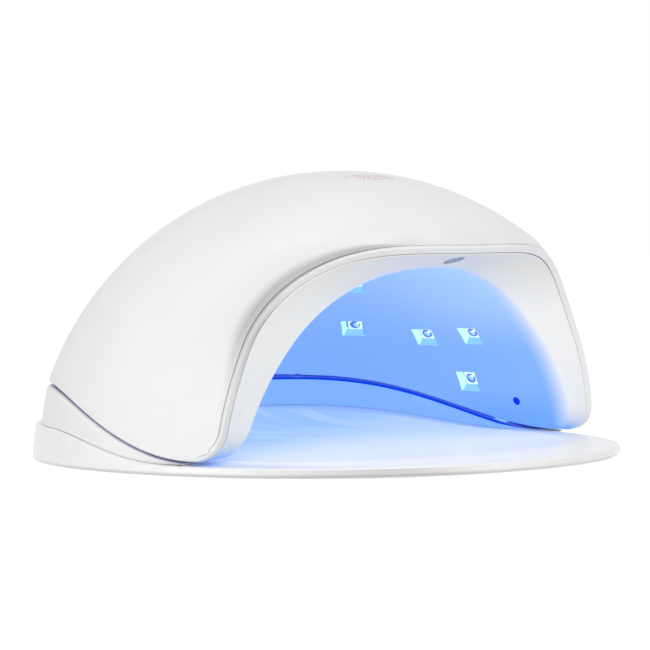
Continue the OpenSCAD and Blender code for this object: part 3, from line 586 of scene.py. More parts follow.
def ramp(value, lo, hi, a=0.0, b=1.0, smooth=True):
    n = node(value.m, "MapRange", {"Value": value, "From Min": lo, "From Max": hi, "To Min": a, "To Max": b})
    n.interpolation_type = "SMOOTHSTEP" if smooth else "LINEAR"
    return Field(value.m, n.outputs["Result"])


def blend(f, a, b):
    n = node(f.m, "Mix", {0: f, 6: a, 7: b}, data_type="RGBA")
    return n.outputs[2]


def axes(m, kind="Object"):
    split = node(m, "SeparateXYZ", {0: node(m, "TexCoord").outputs[kind]})
    return [Field(m, o) for o in split.outputs]


def noise(m, scale, detail=2.0, at=None):
    at = at or node(m, "TexCoord").outputs["Object"]
    return Field(m, node(m, "TexNoise", {"Vector": at, "Scale": scale, "Detail": detail}).outputs["Fac"])


def rgb(r, g, b):
    """A display colour, 0 to 255, as linear RGBA."""
    f = [(c / 255 / 12.92 if c <= 10.3 else ((c / 255 + 0.055) / 1.055) ** 2.4) for c in (r, g, b)]
    return (*f, 1.0)


def mottle(m, a, b, scale=55.0, detail=3.0, lo=0.3, hi=0.7):
    """A colour that wanders between two display colours."""
    return blend(ramp(noise(m, scale, detail), lo, hi), rgb(*a), rgb(*b))


def paint(m, s, base, glow=None, strength=0.0, specular=0.5):
    wire(m, base, s.inputs["Base Color"])
    s.inputs["Specular IOR Level"].default_value = specular
    if glow:
        wire(m, glow, s.inputs["Emission Color"])
        s.inputs["Emission Strength"].default_value = strength


def grain(m, s, rough, spread=0.05, size=260.0, bump=0.04, fine=2600.0, depth=0.00012):
    """Roughness that wanders a little and a fine moulded grain."""
    wire(m, ramp(noise(m, size, 3.0), 0.3, 0.7, rough - spread, rough + spread), s.inputs["Roughness"])
    if bump:
        b = node(m, "Bump", {"Strength": bump, "Distance": depth, "Height": noise(m, fine)})
        wire(m, b.outputs[0], s.inputs["Normal"])


def plastic(name, a, b, rough=0.36, specular=0.5, **kw):
    m, s = mat(name)
    paint(m, s, mottle(m, a, b), specular=specular)
    grain(m, s, rough, **kw)
    return m


def metal(name, a, b, rough=0.3):
    m, s = mat(name)
    s.inputs["Metallic"].default_value = 1.0
    paint(m, s, mottle(m, a, b, 900.0, 4.0, 0.35, 0.65))
    grain(m, s, rough, spread=0.08, size=1400.0, bump=0.08, fine=4200.0, depth=0.00006)
    return m


SHELL_WHITES = (239, 239, 240), (241, 241, 241)
WHITE = plastic("white_shell", *SHELL_WHITES, 0.45, 0.3, spread=0.02, bump=0.015)
UNLIT = (0, 0, 0, 1)


def dome_material():
    """White like the rest, with a painted shade along the valley behind the lip, strongest at the upper
    left.
    """
    m, s = mat("dome_white_painted_shade")
    x, y, z = axes(m)
    # The lip bows forward between its leg's top and its tip, on a quarter of an ellipse.
    bow_from, bow_to, bow_reach = LEAN_H * MM, 0.0812, (LEG_Y - LIP_Y) * MM
    w = ramp(z, bow_from, bow_to, smooth=False)
    upright = (w * w * -1.0 + 1.0).math("SQRT")
    behind = y - LEG_Y * MM + (upright * -1.0 + 1.0) * bow_reach
    width = ramp(z, 0.030, 0.058, 0.0032, 0.0078)
    near = ramp((behind - 0.0016) / width, 1.0, 0.0) * ramp(behind, -0.0002, 0.0008)
    near = near.math("ADD", ramp(behind, 0.032, 0.002) * 0.2, True)
    far = ramp(z, 0.024, 0.060, 0.3, 1.0) * ramp(x, -0.018, -0.056, 0.1, 1.0)
    # Painted shade: a grey of 184 over the white, in a band just behind the lip and faintly further back.
    paint(m, s, blend(near * far, mottle(m, *SHELL_WHITES), rgb(184, 184, 184)), specular=0.3)
    grain(m, s, 0.45, spread=0.02, bump=0.015)
    return m


def mouth_depth(y, z):
    """Metres behind the cavity's mouth, which leans forward above its legs."""
    lean = ramp(z, 0.046, 0.071, smooth=False)
    return y + (lean * lean * 0.0065 + 0.045)


def painted_blue_glow(y, z):
    """The painted glow of the lit reflector: paler above and towards the mouth, deeper low down."""
    c = blend(ramp(z, 0.034, 0.076), rgb(120, 164, 224), rgb(138, 174, 232))
    c = blend(ramp(y, 0.050, -0.035) * ramp(z, 0.034, 0.062), c, rgb(162, 193, 236))
    return blend(ramp(z, 0.026, 0.008) * ramp(y, 0.030, -0.010), c, rgb(92, 148, 222))


def reflector_material():
    m, s = mat("reflector")
    x, y, z = axes(m)
    # Behind the mouth the white turns to a blue base under the painted blue glow of the LEDs' light.
    f = ramp(mouth_depth(y, z), -0.003, 0.011)
    white = mottle(m, (237, 236, 230), (239, 238, 232), 400.0)
    white = blend(ramp(z, 0.055, 0.074), white, rgb(236, 234, 225))
    # A little of the light inside is also painted onto the arch's face as glow, most of it on the right.
    rim = blend(ramp(x, -0.02, 0.06), UNLIT, (0.14, 0.135, 0.13, 1))
    rim = blend(ramp(z, 0.050, 0.072), rim, (0.012, 0.012, 0.014, 1))
    paint(m, s, blend(f, white, rgb(84, 116, 180)), blend(f, rim, painted_blue_glow(y, z)), 0.8)
    grain(m, s, 0.42, spread=0.02, bump=0.0)
    return m


def glow_material(name, base, glow, strength=0.8, rough=0.4, specular=0.5):
    m, s = mat(name)
    base_b, glow_b = [[min(255, c + step) for c in q] for q, step in ((base, 4), (glow, 3))]
    paint(m, s, mottle(m, base, base_b, 300.0, 2.0), mottle(m, glow, glow_b, 300.0, 2.0), strength, specular)
    grain(m, s, rough, spread=0.02, bump=0.0)
    return m


def oval(x, y, a, b, n=2.4):
    return (abs(x) / a) ** n + (abs(y) / b) ** n


def plate_material():
    """White outside, with painted shade on its sides towards the front; under the lamp a painted pale blue
    of its light, with soft painted streaks of that light at the left rear.
    """
    m, s = mat("base_plate")
    x, y, _ = axes(m)
    up = axes(m, "Normal")[2]
    across = x * 0.65 - y * 0.76
    white = mottle(m, (240, 240, 240), (242, 242, 242), 400.0)
    # Painted shade: the sides darken towards the front.
    side = ramp(up, 0.7, 0.3) * ramp(y, -0.030, -0.085) * ramp(across, 0.066, 0.024, 0.08, 1.0)
    white = blend(side, white, rgb(204, 203, 203))
    # Under the lamp: the painted pale blue pool of its light with painted streaks, and a painted warm glow
    # on the top ahead of the mouth.
    inside = ramp(oval(x, y, 0.093, 0.083), 1.0, 0.9) * ramp(y, -0.080, -0.040)
    wave = node(m, "CombineXYZ", {0: (x + y * 0.25) * 26.0, 1: y * 4.0}).outputs[0]
    band = ramp(noise(m, 3.0, 2.0, wave), 0.42, 0.58)
    streaks = ramp(y - x * 0.35, -0.012, 0.034) * (band * 0.6 + 0.4)
    tint = blend(streaks, rgb(240, 240, 246), rgb(166, 214, 248))
    ahead = ramp(oval(x, y, 0.104, 0.104), 1.1, 0.9) * ramp(up, 0.6, 0.9) * ramp(y, 0.0, -0.040)
    ahead = ahead * ramp(across, 0.098, 0.070, 0.2, 1.0)
    glow = blend(ramp(y, 0.030, -0.050), rgb(186, 190, 205), rgb(224, 216, 200))
    glow = blend(inside, blend(ahead, UNLIT, (0.60, 0.52, 0.18, 1)), glow)
    paint(m, s, blend(inside, white, tint), glow, 0.38)
    grain(m, s, 0.3, spread=0.02, bump=0.0)
    return m


def ring_material():
    """Painted dark grey shade where it shows in the outer seam, lighter on its inner side near the front,
    and a painted deep blue glow where the cavity's light reaches it.
    """
    m, s = mat("ring_painted_shade_and_glow")
    x, y, _ = axes(m)
    nx, ny, _ = axes(m, "Normal")
    r = (abs(x) / 0.1043) ** 2.59 + (y.math("MAXIMUM") / 0.0876) ** 1.65
    inside = ramp(nx * x + ny * y, 0.06, 0.03)
    lit = ramp(r, 1.12, 1.06) * inside * ramp(y, -0.026, -0.010)
    # The painted seam shade, lighter on the inner side near the front.
    grey = mottle(m, (96, 96, 98), (108, 108, 110), 300.0, 2.0)
    grey = blend(inside * ramp(y, -0.018, -0.030), grey, rgb(186, 187, 194))
    paint(m, s, blend(lit, grey, rgb(6, 30, 120)), blend(lit, UNLIT, rgb(0, 66, 226)), 0.8, 0.1)
    grain(m, s, 0.75, bump=0.0)
    return m


DOME_WHITE = dome_material()
REFLECTOR = reflector_material()
PLATE = plate_material()
# Painted light: the LED pockets' walls glow blue, with their lit side and their low wall paler.
POCKET = glow_material("pocket_wall_painted_glow", (70, 110, 190), (92, 146, 226))
POCKET_SIDE = glow_material("pocket_side_painted_light", (170, 215, 235), (176, 238, 250))
POCKET_LOW = glow_material("pocket_low_painted_light", (100, 150, 205), (132, 188, 236))
# A painted deep blue glow for gaps, holes and screws that lie in shade inside the lamp.
PAINTED_DEEP_BLUE = glow_material("deep_gap_painted_glow", (6, 30, 110), (0, 66, 224), 0.85, 0.8, 0.05)
# A painted blue glow of the cavity's light on the collar's inner wall and on the locating tabs.
COLLAR_IN = glow_material("collar_inner_painted_glow", (84, 116, 180), (122, 168, 226))
TAB = glow_material("tab_glow", (120, 165, 220), (150, 196, 244), 0.85)
RUBBER = plastic("foot_rubber", (38, 38, 40), (48, 48, 50), 0.7, bump=0.2, fine=1800.0)
STEEL = metal("plated_steel", (196, 198, 202), (170, 172, 178))
NICKEL = metal("nickel", (206, 206, 204), (186, 186, 186), 0.22)
BLACK = plastic("black_plastic", (26, 26, 28), (34, 34, 36), 0.38)
GREEN = plastic("circuit_board", (18, 84, 52), (28, 102, 64), 0.4)
# The LED boards take a painted blue glow.
LED_BOARD = glow_material("led_board", (40, 80, 170), (60, 112, 218))
PACKAGE = glow_material("led_package", (215, 230, 235), (226, 250, 250), 0.92)
PINK = plastic("pink_button", (236, 128, 172), (242, 140, 182), 0.32, spread=0.02, bump=0.015)
MARK = plastic("button_mark", (250, 244, 247), (255, 250, 252), 0.4, bump=0.0)
PRINT = plastic("top_print", (208, 140, 176), (216, 152, 186), 0.4, bump=0.0)
DIGIT = glow_material("display_digit", (150, 40, 90), (255, 120, 170))
DEEP_RING = ring_material()
SENSOR = plastic("sensor_grey", (156, 148, 124), (166, 158, 134), 0.3, bump=0.0)
SMOKED = plastic("smoked_window", (20, 20, 24), (28, 28, 32), 0.12, bump=0.0)
BRASS = metal("pin_metal", (214, 190, 130), (200, 172, 112))
LENS = glow_material("led_lens", (40, 70, 190), (84, 118, 214), 0.7, 0.1)
LENS_IN = glow_material("led_chip", (120, 160, 225), (150, 196, 248), rough=0.1)
# A painted glint: a white bead on each lens.
PAINTED_GLINT = glow_material("led_painted_glint", (230, 240, 245), (250, 255, 255), 0.95, 0.1)


# The dome.
VALLEY_W, VALLEY_D = 8.5, 0.9
# The lip's edge as shares of its reach back from the face, and depths below the dome: a groove, then a bead.
LIP_EDGE = ((1.0, 1.6), (0.74, 1.6), (0.71, 0.75), (0.62, 0.6), (0.48, 0.55), (0.32, 0.6), (0.18, 0.75),
            (0.07, 1.0), (0.0, 1.35))


def edge_out(ring, inner, normals):
    """Unit directions along the surface and away from it, across its edge."""
    out = unit(np.cross(unit(np.roll(ring, -1, 0) - np.roll(ring, 1, 0)), normals))
    return out * np.sign((out * (ring - inner)).sum(-1))[:, None]


def outline(vs, ts, corner=5):
    """Half the dome's edge, crest front to crest rear, as (v, t) and its neighbours in the inner grid."""
    n, k = len(ts) - 1, len(vs) - 1
    c1 = np.linspace(1, 0, corner + 1)[1:]
    c0 = np.linspace(0, 1, corner + 1)[1:-1]
    v = np.concatenate([0 * ts, 0 * c1, vs[0] * c0, vs, 1 - (1 - vs[-1]) * c1, 0 * c0 + 1, 0 * ts + 1])
    t = np.concatenate([ts[::-1], ts[0] * c1, 0 * c0, 0 * vs, 0 * c1, ts[0] * c0, ts])
    i = np.concatenate([0 * ts, 0 * c1, 0 * c0, np.arange(k + 1), 0 * c1 + k, 0 * c0 + k, 0 * ts + k])
    j = np.concatenate([np.arange(n, -1, -1), 0 * c1, 0 * c0, 0 * vs, 0 * c1, 0 * c0, np.arange(n + 1)])
    return v, t, i.astype(int), j.astype(int)


def build_dome():
    vs = np.linspace(0.08, 1 - 1 / 56, 54)
    ts = np.linspace(0.03, 1, 68)
    gv, gt = np.meshgrid(vs, ts, indexing="ij")
    grid = both(dome_grid(gv, gt))
    rows, cols = grid.shape[:2]
    v, t, i, j = outline(vs, ts)
    n = len(ts) - 1
    half = dome_grid(v, t)
    ring = whole(half, half * [-1, 1, 1])
    vv, tt = whole(v, v), whole(t, t)
    part = whole(i * cols + 2 * n - j, i * cols + j)
    flat = grid.reshape(-1, 3)
    inner = flat[part]
    out = edge_out(ring, inner, gradient(dome_level, ring))
    lip = np.where(vv >= 1, 0.0, np.where(tt == 0, 1 - ease(vv / 0.3), 1.0))
    far = np.linalg.norm(ring - inner, axis=1)
    reach = np.minimum(mix(0.8, 1.7, lip), 0.75 * far)[:, None]
    q = project(ring - out * reach, dome_level)
    nq = gradient(dome_level, q)
    bq = unit(out - nq * (out * nq).sum(-1, keepdims=True))
    rowsets, normals = [], []
    # Above the lip the surface sinks into a soft valley that ends in a groove.
    span = np.minimum(VALLEY_W, 0.9 * far)[:, None] - reach
    deep = (VALLEY_D * (1 + 1.5 * tt ** 2) * lip * np.clip((far - 2.5) / 5, 0, 1))[:, None]
    plain_rows = []
    for k in (1.0, 0.9, 0.8, 0.7, 0.6, 0.5, 0.42, 0.35, 0.28, 0.22, 0.16, 0.11, 0.07, 0.04, 0.015, 0.0):
        p = project(ring - out * (reach + span * k), dome_level)
        plain_rows.append(p)
        normals.append(gradient(dome_level, p))
        rowsets.append(p - normals[-1] * deep * (1 - k) ** 2.2)

    def inward(p, w):
        return -level_out(gradient(dome_level, p), np.where(w > 0.5, np.clip((1 - w) * 5, 0, 1), 1.0))

    def wall(w, t):
        return mix(lip_at(t), WALL, np.clip(8 * w, 0, 1))[..., None]

    # The edge: plain round at the seam; at the lip a groove, a bead and the flat face.
    lip = lip[:, None]
    for (part_back, depth), a in zip(LIP_EDGE, np.radians(np.linspace(0, 90, len(LIP_EDGE) + 1)[1:])):
        back = mix(1 - math.sin(a), part_back, lip)
        down = mix(0.8 * (1 - math.cos(a)), np.maximum(depth - VALLEY_D, 0) + deep, lip)
        rowsets.append(q - nq * down + bq * reach * (1 - back))
        normals.append(nq * math.cos(a) + bq * math.sin(a))
    count = len(rowsets)
    step = inward(q, vv)
    low = rowsets[-1] + step * (wall(vv, tt) - down)
    rowsets += [low - step * 0.2, low - step * 0.06 - bq * 0.06, low - bq * 0.2]
    normals += [bq, unit(bq - nq), -nq]
    for p in plain_rows[::-1]:
        rowsets.append(p + inward(p, vv) * wall(vv, tt))
        normals.append(-gradient(dome_level, p))
    fv = np.broadcast_to(np.repeat(vs, cols), (rows * cols,))
    ft = np.tile(np.concatenate([ts, ts[-2::-1]]), rows)
    back = flat + inward(flat, fv) * wall(fv, ft)
    verts, faces = shell(flat, rowsets, back, part, rows, cols)
    nn = np.concatenate([gradient(dome_level, flat)] + normals + [-gradient(dome_level, flat)])
    shaded = area_normals(verts, faces)
    m, start = len(ring), rows * cols
    sense = np.sign((shaded[start:start + m] * nn[start:start + m]).sum())
    for k in range(1, count + 1):
        row = slice(start + k * m, start + (k + 1) * m)
        nn[row] = np.where(lip > 0.5, shaded[row] * sense, nn[row])
    return verts, faces, nn


# Control panel and socket frames, in millimetres.
PANEL_Y, PANEL_R = 30.0, 107.0
PANEL_C = np.array([0, PANEL_Y, float(crest_z(np.float64(PANEL_Y)))])
PANEL_N = gradient(dome_level, PANEL_C[None])[0]
PANEL_AX = np.stack([[1, 0, 0], [0, PANEL_N[2], -PANEL_N[1]], PANEL_N])
BUTTONS = [((k - 1.5) * 15.0, 12.0) for k in range(4)]
JACK = np.array([0, crest_back(43.0), 43.0])
DISPLAY = (0, -8)
HOLE_Y, HOLE_Z = -19.1, 16.8
HOLE = np.array([float(cav_x(np.float64(HOLE_Y), HOLE_Z)), HOLE_Y, HOLE_Z])


def on_panel(p):
    return PANEL_C + np.asarray(p) @ PANEL_AX


def panel_z(d):
    return np.sqrt(PANEL_R ** 2 - d ** 2) - PANEL_R


def prism(outline2, levels, place_by, sizes=None):
    """A closed prism over a flat outline, at levels of z, each scaled by a size."""
    sizes = sizes or [1.0] * len(levels)
    verts = place_by(np.concatenate([at_level(outline2 * s, z) for z, s in zip(levels, sizes)]))
    return verts, outward(verts, capped_loft(len(levels), len(outline2)))


def circle(r, n=64):
    a = np.linspace(0, 2 * np.pi, n, endpoint=False)
    return np.stack([r * np.cos(a), r * np.sin(a)], 1)


def rounded_box(w, d, r, n=8):
    out = []
    for sx, sy, a0 in ((1, 1, 0), (-1, 1, 90), (-1, -1, 180), (1, -1, 270)):
        a = np.radians(np.linspace(a0, a0 + 90, n))
        out.append(np.stack([sx * (w / 2 - r) + r * np.cos(a), sy * (d / 2 - r) + r * np.sin(a)], 1))
    return np.concatenate(out)


def cutter(parts, mats=None, index=None):
    verts, faces = join_parts(parts)
    index = [0] * len(faces) if index is None else sum(index, [])
    return make("cutter", verts, faces, mats or [WHITE], index=index)


dv, df, dn = build_dome()
df = outward(dv, df)
dome = make("dome_shell", dv, df, [DOME_WHITE], dn)
cuts = [prism(circle(5.8) + b, [-8, 4], on_panel) for b in BUTTONS]
cuts.append(prism(rounded_box(34.3, 15.3, 3) + DISPLAY, [-6, 4], on_panel))
cuts.append(prism(circle(7.65), [-12, 12], lambda p: JACK + p[:, [0, 2, 1]] * [1, 1, -1]))
carve(dome, cutter(cuts, [DOME_WHITE]), dn)
place(dome, "head", ["upper_shell"])


# Arch face and reflector, one moulding.
def face_rim(t):
    p = on_wall(t, dome_x, *edge_rib(t, 0, 0.2, HEAD_Z, LEG_Y, LIP_TIP))
    return p - gradient(dome_level, p) * (lip_at(t) + FIT)[..., None]


def grid_normals(g):
    a = np.gradient(g, axis=0)
    b = np.gradient(g, axis=1)
    return unit(np.cross(b, a))


def cav_vt(v, t):
    return cav_grid(*np.meshgrid(v, t, indexing="ij"))


def build_liner():
    ts = np.concatenate([np.linspace(0, 0.2, 14), np.linspace(0.2, 1, 52)[1:]])
    o = face_rim(ts)
    k = cav_vt(np.array([0.0]), ts)[0]
    b = cav_vt(np.array([0.03]), ts)[0]
    a = k + unit(o - k) * MOUTH_R
    rows = [mix(o, a, s) for s in np.linspace(0, 1, 8)]
    rows += [mix(mix(a, k, s), mix(k, b, s), s) for s in np.linspace(0, 1, 10)[1:-1]]
    vs = np.concatenate([[0.03, 0.045, 0.065, 0.085], np.linspace(0.105, 1, 52)])
    half = np.concatenate([np.array(rows), cav_vt(vs, ts)])
    grid = both(half)
    vpar = np.concatenate([np.zeros(16), vs])
    n_rows, cols = grid.shape[:2]
    nrm = grid_normals(grid)
    if nrm[40, cols // 2, 2] > 0:
        nrm = -nrm
    swell = 0.3 * np.linspace(1, 0, 8) ** 2
    grid[:8] += nrm[:8] * swell[:, None, None]
    away = level_out(-nrm, np.where(vpar > 0.3, np.clip((1 - vpar) / 0.18, 0, 1), 1.0)[:, None])
    m0 = gradient(dome_level, both(face_rim(ts)[None])[0])
    d0 = away[0] - m0 * (away[0] * m0).sum(-1, keepdims=True)
    away[0] = d0 / (d0 * d0).sum(-1, keepdims=True)
    back = grid + away * LINER
    flat, fn, fb = grid.reshape(-1, 3), nrm.reshape(-1, 3), back.reshape(-1, 3)
    edge = border(n_rows, cols)
    i, j = edge // cols, edge % cols
    near = np.clip(i, 1, n_rows - 2) * cols + np.clip(j, 1, cols - 2)
    ring, inner = flat[edge], flat[near]
    nq = fn[edge]
    out = edge_out(ring, inner, nq)
    r = np.where(i == 0, 0.3, 0.45)
    r = np.minimum(r, 0.5 * np.linalg.norm(ring - inner, axis=1))[:, None]
    move = flat.copy()
    move[edge] = ring - out * r
    centre = move[edge] - nq * r
    sets, normals = [], []
    for turn in np.radians([22.5, 45, 67.5, 90]):
        normals.append(nq * math.cos(turn) + out * math.sin(turn))
        sets.append(centre + r * normals[-1])
    sets.append(fb[edge] + nq * 0.02)
    normals.append(out)
    verts, faces = shell(move, sets, fb, edge, n_rows, cols)
    nn = np.concatenate([fn] + normals + [-fn])
    # The edge away from the arch's face is deep in the seam, and it takes the painted deep blue glow there.
    plain = [0] * ((n_rows - 1) * (cols - 1))
    deep = [4 if a > 16 and b > 16 else 0 for a, b in zip(i, np.roll(i, -1))]
    return verts, outward(verts, faces), nn, plain + deep * (len(sets) + 1) + plain


# Rays to the LEDs' windows on the right, from 10 mm up on the middle: degrees to the rear and upward.
LEDS = [(1.5, 9), (-7, 23.5), (10, 23), (33, 26), (60, 25), (29.5, 47.6), (75, 47),
        (-60, 68), (-20, 68), (20, 68), (60, 68)]


def led_frames():
    """Place and axes of each LED window: axes run down the wall, level along it and out of it."""
    out = []
    eye = np.array([0, 0, 10])
    rays = [(*ray, side) for ray in LEDS for side in (1, -1)] + [(90, 36, 1), (-90, 60, 1)]
    for turn, rise, side in rays:
        a, e = math.radians(turn), math.radians(rise)
        d = np.array([math.cos(e) * math.cos(a), math.cos(e) * math.sin(a), math.sin(e)])
        lo, hi = 0.0, 130.0
        for _ in range(30):
            mid = (lo + hi) / 2
            lo, hi = (mid, hi) if cav_level((eye + d * mid)[None])[0] < 1 else (lo, mid)
        p = eye + d * lo
        n = gradient(cav_level, p[None])[0]
        level = unit(np.array([-n[1], n[0], 0]))
        ax = np.stack([np.cross(level, n), level, n])
        if side < 0:
            p, ax = p * [-1, 1, 1], ax * [-1, 1, 1]
        out.append((p, ax))
    return out


FRAMES = led_frames()


def in_frame(fr):
    p, ax = fr
    return lambda v: p + np.asarray(v) @ ax


def window_cutter(fr):
    """A window that is square at the surface and narrows, off its middle, down to the LED's package."""
    outer, inner = rounded_box(8.6, 8.6, 0.5, 5), rounded_box(6.0, 7.0, 0.4, 5) + [-1.1, -0.6]
    sets = [(outer * 1.35, -1.5), (outer, 0.1), (inner, 1.9), (inner, 6.2)]
    pts = np.concatenate([at_level(o, z) for o, z in sets])
    m = len(outer)
    faces = capped_loft(len(sets), m)
    # Walls low in the window take the pale painted light, walls to one side the bright painted light, and
    # the rest the painted blue glow.
    index = []
    for k, f in enumerate(faces[:-2]):
        middle = inner.mean(0) if k // m > 1 else (outer.mean(0) + inner.mean(0)) / 2
        down, along = pts[f].mean(0)[:2] - middle
        index.append(3 if down > 0 and down >= abs(along) else 2 if along > abs(down) else 1)
    verts = in_frame(fr)(pts)
    return verts, outward(verts, faces), index + [1, 1]


lv, lf, ln, li = build_liner()
liner = make("reflector_liner", lv, lf, [REFLECTOR, POCKET, POCKET_SIDE, POCKET_LOW, PAINTED_DEEP_BLUE], ln, li)
parts, slots = [], []
for fr in FRAMES:
    wv, wf, wi = window_cutter(fr)
    parts.append((wv, wf))
    slots.append(wi)
# Two screw holes, one on each side, with their walls in the painted deep blue glow.
for side in (1, -1):
    parts.append(prism(circle(1.65, 32), [-1, 3.4, 3.45, 8],
                       lambda v: (HOLE + v[:, [2, 1, 0]]) * [side, 1, 1], [1, 1, 0.64, 0.64]))
    slots.append([4] * len(parts[-1][1]))
rim = face_rim(np.array([1.0]))[0]
key = cav_vt(np.array([0.0]), np.array([1.0]))[0, 0]
inner_edge = key + unit(rim - key) * MOUTH_R
FACE_MID = (rim + inner_edge) / 2
FACE_DIR = unit(inner_edge - rim)
FACE_N = np.array([0, -FACE_DIR[2], FACE_DIR[1]])
SENSOR_AX = np.stack([np.cross([1.0, 0, 0], FACE_N) * -1, [1, 0, 0], FACE_N])
parts.append(prism(circle(4.15, 48), [-2, 6], lambda v: FACE_MID + v @ SENSOR_AX))
slots.append([0] * len(parts[-1][1]))
carve(liner, cutter(parts, [REFLECTOR, POCKET, POCKET_SIDE, POCKET_LOW, PAINTED_DEEP_BLUE], slots), ln)
place(liner, "head", ["inner_housing"])


# Base plate.
def build_tray():
    s = S_ALL
    z = rim_z(st_y(s, HALF_D))
    rings = [plate_inset(s, 5.0, PLATE_Z)]
    for a in np.radians(np.linspace(0, 90, 6)):
        rings.append(plate_inset(s, 1 - math.sin(a), PLATE_Z + 1 - math.cos(a)))
    for a in np.radians(np.linspace(0, 90, 7)):
        rings.append(plate_inset(s, DRAFT * (z - PLATE_Z - 1) + 0.9 - 0.9 * math.cos(a),
                                 z - 0.9 + 0.9 * math.sin(a)))
    r0, c = rings[-1], cove_of(s)
    rings += [mix(r0, c, f) for f in (0.15, 0.5, 0.85, 1.0)]
    d = unit(np.array([0, -10.0, 0]) - c * [1, 1, 0])
    for f in np.linspace(0, 1, 15)[1:]:
        p = c + d * COVE_W * f
        rings.append(np.column_stack([p[:, :2], FLOOR_H + (c[:, 2] - FLOOR_H) * (1 - f) ** 2]))
    last = rings[-1]
    for f in (0.3, 0.6, 0.85):
        rings.append(mix(last, np.array([0, -10.0, FLOOR_H]), f))
    loops = np.array([whole(r * [-1, 1, 1], r) for r in rings])
    n, m = loops.shape[:2]
    verts = np.concatenate([loops.reshape(-1, 3), [loops[0].mean(0), loops[-1].mean(0)]])
    low, top = n * m, n * m + 1
    faces = loft_faces(n, m) + [[k, (k + 1) % m, low] for k in range(m)]
    faces += [[(n - 1) * m + (k + 1) % m, (n - 1) * m + k, top] for k in range(m)]
    return verts, outward(verts, faces)


def ring_point(s):
    s = np.atleast_1d(np.float64(s))
    a, b = dome_at(s, 1.2), cav_at(s, 1.2)
    a = a - level_out(gradient(dome_level, a)) * (WALL + 1.5 * FIT)
    b = b + level_out(gradient(cav_level, b)) * (LINER + 1.5 * FIT)
    return mix(a, b, 0.5)[0]


def land_point(s):
    s = np.atleast_1d(np.float64(s))
    return mix(rim_of(s), cove_of(s), 0.5)[0]


def pair(at, outline2, levels, sizes=None):
    """Two upright prisms, at a place on the right and at its mirror image."""
    return [prism(outline2, levels, lambda v: v + [sx * at[0], at[1], 0], sizes) for sx in (1, -1)]


# Stations of the collar's screws and the magnets, from the seam's front end (0) to its rear middle (1).
SCREWS, FRONT_MAGNET, REAR_MAGNET = (0.36, 0.8), 0.07, 0.62
MAGNET_R = 4.15
tv, tf = build_tray()
tn = area_normals(tv, tf)
tray = make("base_plate", tv, tf, [PLATE], tn)
holes = []
for foot in ((68, -66), (98, 10), (62, 70)):
    holes += pair(foot, circle(7.15, 48), [-1, 2.1])
for st in SCREWS:
    holes += pair(land_point(st), circle(2.65, 32), [-1, 5.8, 5.81, 14.4], [1, 1, 0.547, 0.547])
holes += pair(ring_point(FRONT_MAGNET), circle(MAGNET_R, 40), [1.7, 6.2])
carve(tray, cutter(holes, [PLATE]), tn)
place(tray, "base", ["base_tray"])


# Rear collar with its locating tabs.
def build_collar():
    rear = crest_back(SEAM_REAR - GAP / 2)
    s = np.concatenate([[st_at(-28.0, rear)], np.linspace(0.025, 1, 80)])
    up = np.array([0, 0, 0.1])
    rim, cove = rim_of(s), cove_of(s)
    d = np.linalg.norm(rim - cove, axis=1)[:, None]
    o = mix(rim, cove, 1.2 / d) + up
    i = mix(rim, cove, (d - 0.1) / d) + up
    t, c = dome_at(s, -GAP / 2), cav_at(s, -GAP / 2)
    v, t = [np.column_stack([p[:, :2], np.maximum(p[:, 2], low[:, 2] + 0.3)]) for p, low in ((c, i), (t, o))]
    corners = np.stack([o, i, v, t], 1)
    r_v = np.minimum(0.9, (v[:, 2] - i[:, 2]) / 3)
    r_t = np.minimum(2.0, (t[:, 2] - o[:, 2]) / 3)
    sec = rounded(corners, [0.25, 0.05, r_v, r_t], 6)
    verts, faces = sweep_loft(sec)
    return verts, faces, len(sec[0])


cv, cf, per = build_collar()
index = []
# With six points a corner, edges 10 and 11 are the wall towards the cavity and 12 to 16 its rounded top.
# The wall towards the cavity takes the painted blue glow, and its rounded top takes the painted deep blue
# glow of the seam's shade.
for f in cf[:-2]:
    k = sorted(q % per for q in f)
    edge = k[0] if k[-1] - k[0] == 1 else 0
    index.append(1 if 10 <= edge < 12 else 2 if 12 <= edge < 17 else 0)
cv, cf = tidy_caps(cv, cf)
index += [0] * (len(cf) - len(index))
cf = outward(cv, cf)
cn = area_normals(cv, cf)
collar = make("rear_collar", cv, cf, [WHITE, COLLAR_IN, PAINTED_DEEP_BLUE], cn, index)
magnet = ring_point(REAR_MAGNET)
# The pocket is open above. It goes down past the seam's gap, a recess of 1.2 mm and the magnet.
holes = pair(magnet, circle(MAGNET_R, 40), [magnet[2] - 0.6 - GAP - 1.2 - 2.6, 40])
for st in SCREWS:
    holes += pair(land_point(st), circle(1.35, 24), [-1, 21.4])
carve(collar, cutter(holes, [WHITE]), cn)
place(collar, "base", ["base_collar"])

TAB_Y = -6.8
TAB_X = float(cav_x(np.float64(TAB_Y), seam_in_z(TAB_Y))) + LINER + 0.45
TAB_Z = float(seam_in_z(TAB_Y)) - GAP - 0.5
tabs = []
for sx in (1, -1):
    box = rounded_box(2.0, 5.0, 0.4, 4) + [TAB_X + 1.0, TAB_Y]
    tabs.append(prism(box, [TAB_Z, TAB_Z + 5.3, TAB_Z + 5.7], lambda v: v * [sx, 1, 1]))
detail("locating_tabs", join_parts(tabs), [TAB], "base", "white_base")


# LEDs: a package with a round cup and a domed lens, one behind each window.
BOARD_BACK = LINER + 0.15


def turned(rings, n):
    """A closed mesh through rings of n points; a ring on the axis has one point."""
    rows, faces, start = [], [], 0
    for ring in rings:
        rows.append([start] * n if len(ring) == 1 else list(range(start, start + n)))
        start += len(ring)
    for p, q in zip(rows[:-1], rows[1:]):
        faces += loop_quads(p, q)
    return np.concatenate(rings), faces


